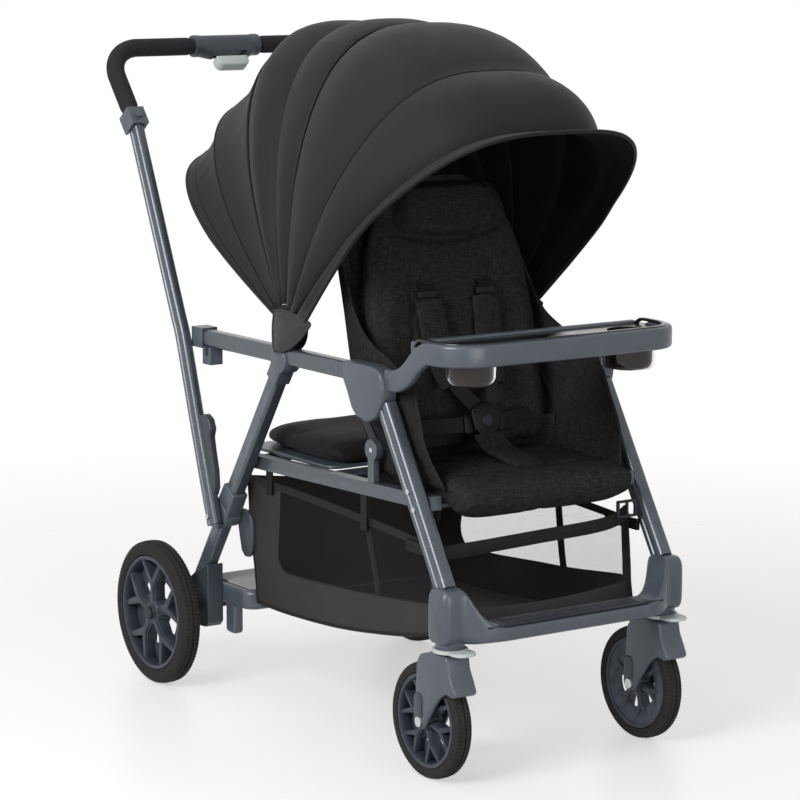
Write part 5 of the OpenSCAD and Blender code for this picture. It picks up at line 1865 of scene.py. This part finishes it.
@dataclass
class Harness:
    """Shoulder straps, waist straps, crotch strap and buckle."""

    seat: Seat = field(default_factory=Seat)
    strap: Point2 = (25.0, 2.4)
    shoulder: tuple[Point3, ...] = ((56, -16, 250), (57, -26, 238), (56, -27, 214))
    pad: tuple[Point3, ...] = ((56, -28, 216), (54, -31, 180), (48, -36, 120), (38, -48, 76))
    pad_size: Point2 = (52.0, 9.0)
    below: tuple[Point3, ...] = ((38, -48, 80), (26, -60, 56), (15, -70, 40))
    waist: tuple[Point3, ...] = ((22, -70, 14), (60, -62, 12), (104, -36, 16), (132, -20, 24))
    tongue: tuple[Point3, ...] = ((0, -72, -10), (0, -78, -24), (0, -92, -36))
    tongue_size: Point2 = (30.0, 2.6)
    crotch_size: Point2 = (56.0, 9.0)
    slide_at: Point3 = (57, -27, 226)
    plate: Outline = ((-30, 10), (-26, 22), (-14, 28), (14, 28), (26, 22), (30, 10),
                                 (26, -12), (14, -24), (-14, -24), (-26, -12))
    plate_y: Point2 = (-64, -77)
    plate_z: float = 15.0
    clip: Point3 = (0.016, 0.008, 0.03)
    clip_at: Point3 = (34, -68, 12)

    def line(self, points: Iterable[Point3], side: int = 1) -> list[Vector]:
        """Points given in the backrest's frame, on one side."""
        return [self.seat.on_back(x * side, y, z) for x, y, z in points]

    def ribbon(self, shape: Shape, points: Sequence[Vector], size: Point2, out: Vector) -> None:
        """Lays a flat strap of a width and thickness through points, its face towards out."""
        section = box_section(*size, size[1] * 0.45, steps=3)
        shape.sweep(section, spline(points, 8), out)

    def leaning(self, x: float, y: float, z: float) -> Matrix:
        """A place in the backrest's frame, turned with it."""
        place = Matrix.Translation(self.seat.on_back(x, y, z))
        return place @ Matrix.Rotation(-self.seat.lean, 4, "X")

    def straps(self) -> None:
        """Builds the webbing, the shoulder pads and the strap slides."""
        out, low_out = Vector((0, -0.98, 0.19)), Vector((0, -0.6, 0.8))
        straps, pads, slides = Shape(), Shape(), Shape()
        for side in Side:
            s = side.value
            self.ribbon(straps, self.line(self.shoulder, s), self.strap, out)
            self.ribbon(pads, self.line(self.pad, s), self.pad_size, out)
            self.ribbon(straps, self.line(self.below, s), self.strap, out)
            self.ribbon(straps, self.line(self.waist, s), self.strap, out)
            x, y, z = self.slide_at
            base = self.leaning(x * s, y, z)
            slides.block((0.036, 0.006, 0.013), base, 0.002, 2)
            slides.block((0.03, 0.007, 0.004), Matrix.Translation(UP * 0.012) @ base, 0.0015, 2)
        self.ribbon(straps, self.line(self.tongue), self.tongue_size, low_out)
        web = straps.piece("harness.webbing", WEBBING, None, 50.0, "harness")
        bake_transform(web)
        pad = pads.piece("harness.pads", HEATHER, None, 50.0)
        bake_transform(pad)
        slides.piece("harness.slides", BLACK, "backrest", 50.0)

    def build(self) -> None:
        """Builds straps, crotch pad and buckle."""
        self.straps()
        crotch, buckle = Shape(), Shape()
        fall = [*self.line(((0, -74, -8), (0, -96, -30))), at(0, 60, 472), at(0, 26, 466)]
        self.ribbon(crotch, fall, self.crotch_size, Vector((0, -0.4, 0.9)))
        crotch.piece("harness.crotch_pad", HEATHER, "chassis", 50.0)
        front, rear = self.plate_y
        outline = self.line((x, front, self.plate_z + z) for x, z in self.plate)
        push = self.seat.on_back(0, rear, 0) - self.seat.on_back(0, front, 0)
        buckle.prism(outline, push, 0.003, 3)
        for side in Side:
            x, y, z = self.clip_at
            buckle.block(self.clip, self.leaning(x * side.value, y, z), 0.002, 2)
        buckle.piece("buckle.shell", BLACK, "chassis", 40.0, "buckle")


@dataclass
class Basket:
    """The basket: sagging walls with net windows, webbing and a strap."""

    half_w: float = 191.0
    top: Outline = ((22, 358), (49, 362), (177, 371), (363, 381), (463, 384), (568, 386))
    sill: Outline = ((8, 269), (149, 254), (295, 243), (395, 237), (484, 237), (553, 241))
    low: Outline = ((2, 230), (57, 212), (150, 195), (295, 177), (450, 169), (546, 170))
    sill_at: float = 0.36
    window_top: float = 0.955
    window_front: float = 0.965
    window_slope: Point2 = (0.127, 0.194)
    corner: Point2 = (0.062, 0.16)
    join: float = 0.0012
    strap_u: Point2 = (0.665, 0.685)
    strap_v: float = 0.965
    front_line: Outline = ((-190, 353), (-100, 355), (0, 358), (100, 361), (146, 367),
                                      (170, 380))
    front_y: float = -5.0
    ladder_y: float = -9.0
    ladder: Table = (
        (148, 384, 4, 26), (166, 384, 3.4, 24), (183, 384, 4, 26), (165.5, 396, 38, 4),
        (165.5, 372, 38, 4))

    @staticmethod
    @cache
    def curve(line: Outline) -> list[Point2]:
        """A smooth line through points of (y, z)."""
        return [tuple(p)[:2] for p in spline([Vector((y, z, 0)) for y, z in line], 6)]

    def edge(self, line: Outline, u: float) -> Vector:
        """Reads an edge line.

        Args:
            line: its points as (y, z).
            u: the share along it, from the rear to the front.

        Returns:
            The point, in millimetres.
        """
        y = mix(line[-1][0], line[0][0], u)
        return Vector((0, y, along(self.curve(line), y)[0]))

    def wall(self, u: float, v: float) -> Vector:
        """A point on the left side wall.

        Args:
            u: the share along it, from the rear to the front.
            v: the share up it, from the lower edge past the window's sill to the webbing.

        Returns:
            The point.
        """
        if v < self.sill_at:
            foot, head, f = self.low, self.sill, v / self.sill_at
        else:
            foot, head, f = self.sill, self.top, (v - self.sill_at) / (1 - self.sill_at)
        p = self.edge(foot, u).lerp(self.edge(head, u), f)
        slack = math.sin(math.pi * v)
        x = self.half_w - 6 * slack * (0.5 + 0.5 * math.sin(math.pi * u)) - 5 * (1 - v) ** 3
        ripple = 2.0 * math.sin(11 * u + 3 * v) * (1 - 0.6 * u)
        x += slack * (ripple + 2.6 * noise.noise(Vector((9 * u + 3 * v, 2 * v, 0.7))))
        return at(x, p.y, p.z)

    def window_rear(self, v: float) -> float:
        """Where the net window starts, with its rounded corner.

        Args:
            v: the share up the wall.

        Returns:
            The share along the wall.
        """
        f = (v - self.sill_at) / (1 - self.sill_at)
        h = min(1.0, (v - self.sill_at) / self.corner[1])
        rounding = 1 - math.sqrt(max(0.0, 1 - (1 - h) ** 2))
        return mix(*self.window_slope, f) + self.corner[0] * rounding

    def window(self, u: float, v: float) -> int:
        """The material number at a place in the side wall: net inside the window."""
        inside = self.sill_at < v < self.window_top and self.window_rear(v) < u < self.window_front
        return int(inside)

    def shell(self) -> Object:
        """Builds walls and floor as one cloth.

        Returns:
            The shell.
        """
        steps = 24
        foot = [self.wall(i / steps, 0.0) for i in range(steps + 1)]

        def bottom(u: float, v: float) -> Vector:
            """A point of the sagging floor.

            Args:
                u: the share across.
                v: the share from rear to front.

            Returns:
                The point.
            """
            i = min(int(v * steps), steps - 1)
            p = foot[i].lerp(foot[i + 1], v * steps - i)
            sag = 12 * math.sin(math.pi * u) * math.sin(math.pi * v)
            return Vector((p.x * (1 - 2 * u), p.y, p.z - sag * MM + 0.001))

        def rear(u: float, v: float) -> Vector:
            """A point of the rear wall at a share across and up."""
            p, slack = self.wall(0.0, v), math.sin(math.pi * u)
            return Vector((p.x * (1 - 2 * u), p.y + 0.006 * slack, p.z - 0.018 * slack * v))

        def front(u: float, v: float) -> Vector:
            """A point of the low front wall at a share across and up."""
            p = self.wall(1.0, 0.3 * v)
            return Vector((p.x * (1 - 2 * u), p.y, p.z - 0.012 * math.sin(math.pi * u) * v))

        shape = Shape()
        shape.skin(100, 50, self.wall, (0.56, 0.2), self.window)
        shape.mirror()
        shape.skin(24, 24, bottom, (0.38, 0.56))
        shape.skin(30, 16, rear, (0.38, 0.21))
        shape.skin(30, 8, front, (0.38, 0.06))
        bmesh.ops.remove_doubles(shape.bm, verts=shape.bm.verts[:], dist=self.join)
        return shape.piece("basket.shell", (BASKET, NET), "chassis", 60.0, "basket", recalc=False)

    def trim(self) -> Object:
        """Builds the webbing along the edges, the window's binding and the upright straps.

        Returns:
            The trim.
        """
        shape = Shape()
        shares = [i / 40 for i in range(41)]
        rises = [i / 16 for i in range(17)]
        shape.sweep(box_section(3.0, 13.0, 1.2, steps=2), [self.wall(u, 0.98) for u in shares], UP)
        shape.tube([self.wall(u, 0.0) + ACROSS * 0.0008 for u in shares], 0.0026, 8, up=ACROSS)
        shape.tube([self.wall(0.0, v) for v in rises], 0.002, 8, up=ACROSS)
        shape.tube([self.wall(1.0, v) for v in rises], 0.003, 8, up=ACROSS)
        heights = [mix(self.window_top, self.sill_at, ease(t)) for t in shares]
        bound = [(self.window_rear(v), v) for v in heights]
        start = bound[-1][0]
        bound += [(mix(start, self.window_front, i / 30), self.sill_at) for i in range(1, 31)]
        shape.tube([self.wall(*p) for p in bound], 0.0014, 8, up=ACROSS)
        drop = [(mix(*self.strap_u, i / 14), mix(self.strap_v, self.sill_at, i / 14)) for i in range(15)]
        shape.sweep(box_section(1.6, 17.0, 0.6, steps=2), [self.wall(*p) for p in drop],
                    Vector((0, 1, 0)))
        shape.mirror()
        return shape.piece("basket.trim", WEBBING, "chassis", 50.0)

    def front_strap(self) -> None:
        """Builds the strap across the front with its ladder buckle."""
        strap, lock = Shape(), Shape()
        points = [at(x, self.front_y, z) for x, z in self.front_line]
        strap.sweep(box_section(2.4, 22.0, 1.0, steps=2), spline(points, 6), UP)
        strap.piece("basket.front_strap", WEBBING, "chassis", 50.0)
        for x, z, w, h in self.ladder:
            place = Matrix.Translation(at(x, self.ladder_y, z))
            lock.block((w * MM, 0.006, h * MM), place, 0.001, 2)
        lock.piece("basket.ladder_lock", DARK, "chassis", 40.0)

    def build(self) -> None:
        """Builds the shell, its trim and the front strap."""
        shell, rim = self.shell(), self.trim()
        for piece in (shell, rim):
            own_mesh(piece)
        self.front_strap()


@dataclass(frozen=True)
class Lamp:
    """A soft square lamp: its place and size in metres and its power in watts."""

    name: str
    place: Point3
    size: float
    power: float


@dataclass
class Studio:
    """Floor, lights and the camera at the photograph's viewing angle."""

    eye: Point3 = (-2.720, -4.0612, 1.317)
    back: Point3 = (-0.553, -0.817, 0.162)
    lens: float = 132.66
    sensor: float = 36.0
    aim: Point3 = (0.0, 0.0, 0.6)
    lamps: tuple[Lamp, ...] = (
        Lamp("key", (-3.1, -1.2, 2.1), 1.7, 125.0), Lamp("front", (-0.3, -3.9, 0.9), 2.0, 48.0),
        Lamp("top", (-0.3, 0.9, 3.4), 2.6, 20.0))
    paper: Point2 = (0.4, 1.0)
    floor_w: float = 12.0
    fade_from: Point2 = (0.9, 2.4)
    fade_to: Point2 = (0.5, 1.0)

    def stand(self, name: str, data: ID, place: Point3, way: Vector) -> Object:
        """Puts a lamp or camera in the scene.

        Args:
            name: its name.
            data: what it is.
            place: where it stands.
            way: the direction that it looks in.

        Returns:
            The new object.
        """
        made = bpy.data.objects.new(name, data)
        made.location = place
        made.rotation_euler = way.to_track_quat("-Z", "Y").to_euler()
        bpy.context.scene.collection.objects.link(made)
        return made

    def light(self, lamp: Lamp) -> None:
        """Adds a lamp that faces the stroller.

        Args:
            lamp: the lamp.
        """
        data = bpy.data.lights.new(lamp.name, "AREA")
        data.shape, data.size, data.energy = "SQUARE", lamp.size, lamp.power
        self.stand(lamp.name, data, lamp.place, Vector(self.aim) - Vector(lamp.place))

    def floor(self) -> None:
        """Lays a pale floor that fades into the white backdrop."""
        shape = Shape()
        shape.skin(8, 8, lambda u, v: Vector((self.floor_w * (u - 0.5), self.floor_w * (v - 0.5), 0.0)))
        made = bpy.data.objects.new("floor", shape.mesh("floor"))
        bpy.context.scene.collection.objects.link(made)
        material = bpy.data.materials.new("floor_sheet")
        material.use_nodes = True
        graph = Graph(material.node_tree)
        shader = graph.find("BSDF_PRINCIPLED")
        graph.fill(shader, {"Base Color": (0.9, 0.9, 0.9, 1.0), "Roughness": 0.35})
        spot = graph.add("ShaderNodeTexCoord").outputs["Object"]
        far = graph.add("ShaderNodeVectorMath", {0: spot}, operation="LENGTH").outputs["Value"]
        clear = graph.add("ShaderNodeBsdfTransparent")
        fade = graph.add("ShaderNodeMixShader", {0: graph.span(far, self.fade_from, self.fade_to),
                                                 1: shader.outputs[0], 2: clear.outputs[0]})
        graph.fill(graph.find("OUTPUT_MATERIAL"), {"Surface": fade.outputs[0]})
        made.data.materials.append(material)

    def backdrop(self) -> None:
        """Makes the world white where it is seen, and dimmer as a light."""
        world = bpy.data.worlds.new("studio")
        world.use_nodes = True
        bpy.context.scene.world = world
        graph = Graph(world.node_tree)
        rays = graph.add("ShaderNodeLightPath").outputs
        clear = graph.math("MAXIMUM", rays["Is Glossy Ray"], rays["Is Transmission Ray"])
        seen = graph.math("MAXIMUM", rays["Is Camera Ray"], clear)
        graph.fill(graph.find("BACKGROUND"), {"Color": (1.0, 1.0, 1.0, 1.0),
                                              "Strength": graph.span(seen, (0.0, 1.0), self.paper)})

    def build(self) -> None:
        """Sets up the whole studio."""
        scene = bpy.context.scene
        scene.view_settings.view_transform = "Standard"
        self.backdrop()
        for lamp in self.lamps:
            self.light(lamp)
        self.floor()
        data = bpy.data.cameras.new("camera")
        data.lens, data.sensor_width, data.clip_end = self.lens, self.sensor, 50.0
        scene.camera = self.stand("camera", data, self.eye, -Vector(self.back))


def main() -> None:
    """Builds every sub-assembly in order, logging each one."""
    logging.basicConfig(level=logging.INFO, format="%(name)s: %(message)s")
    parts = (
        Studio(), Softener(),
        Wheel("rear", x=269, y=744, r=125, w=34, tyre_h=26, spokes=5, hub=22, blocks=112, fork_at=46,
              spread=1.5),
        Wheel("front", x=206, y=0, r=92.5, w=30, tyre_h=18, spokes=6, hub=13, blocks=88, fork_at=34,
              spread=1.55),
        Caster(), Footrest(), Legs(), Fold(), Handle(), Tray(), Canopy(), Seat(), Harness(), Basket())
    for part in parts:
        log.info("building %s", type(part).__name__)
        part.build()


if __name__ == "__main__":
    main()
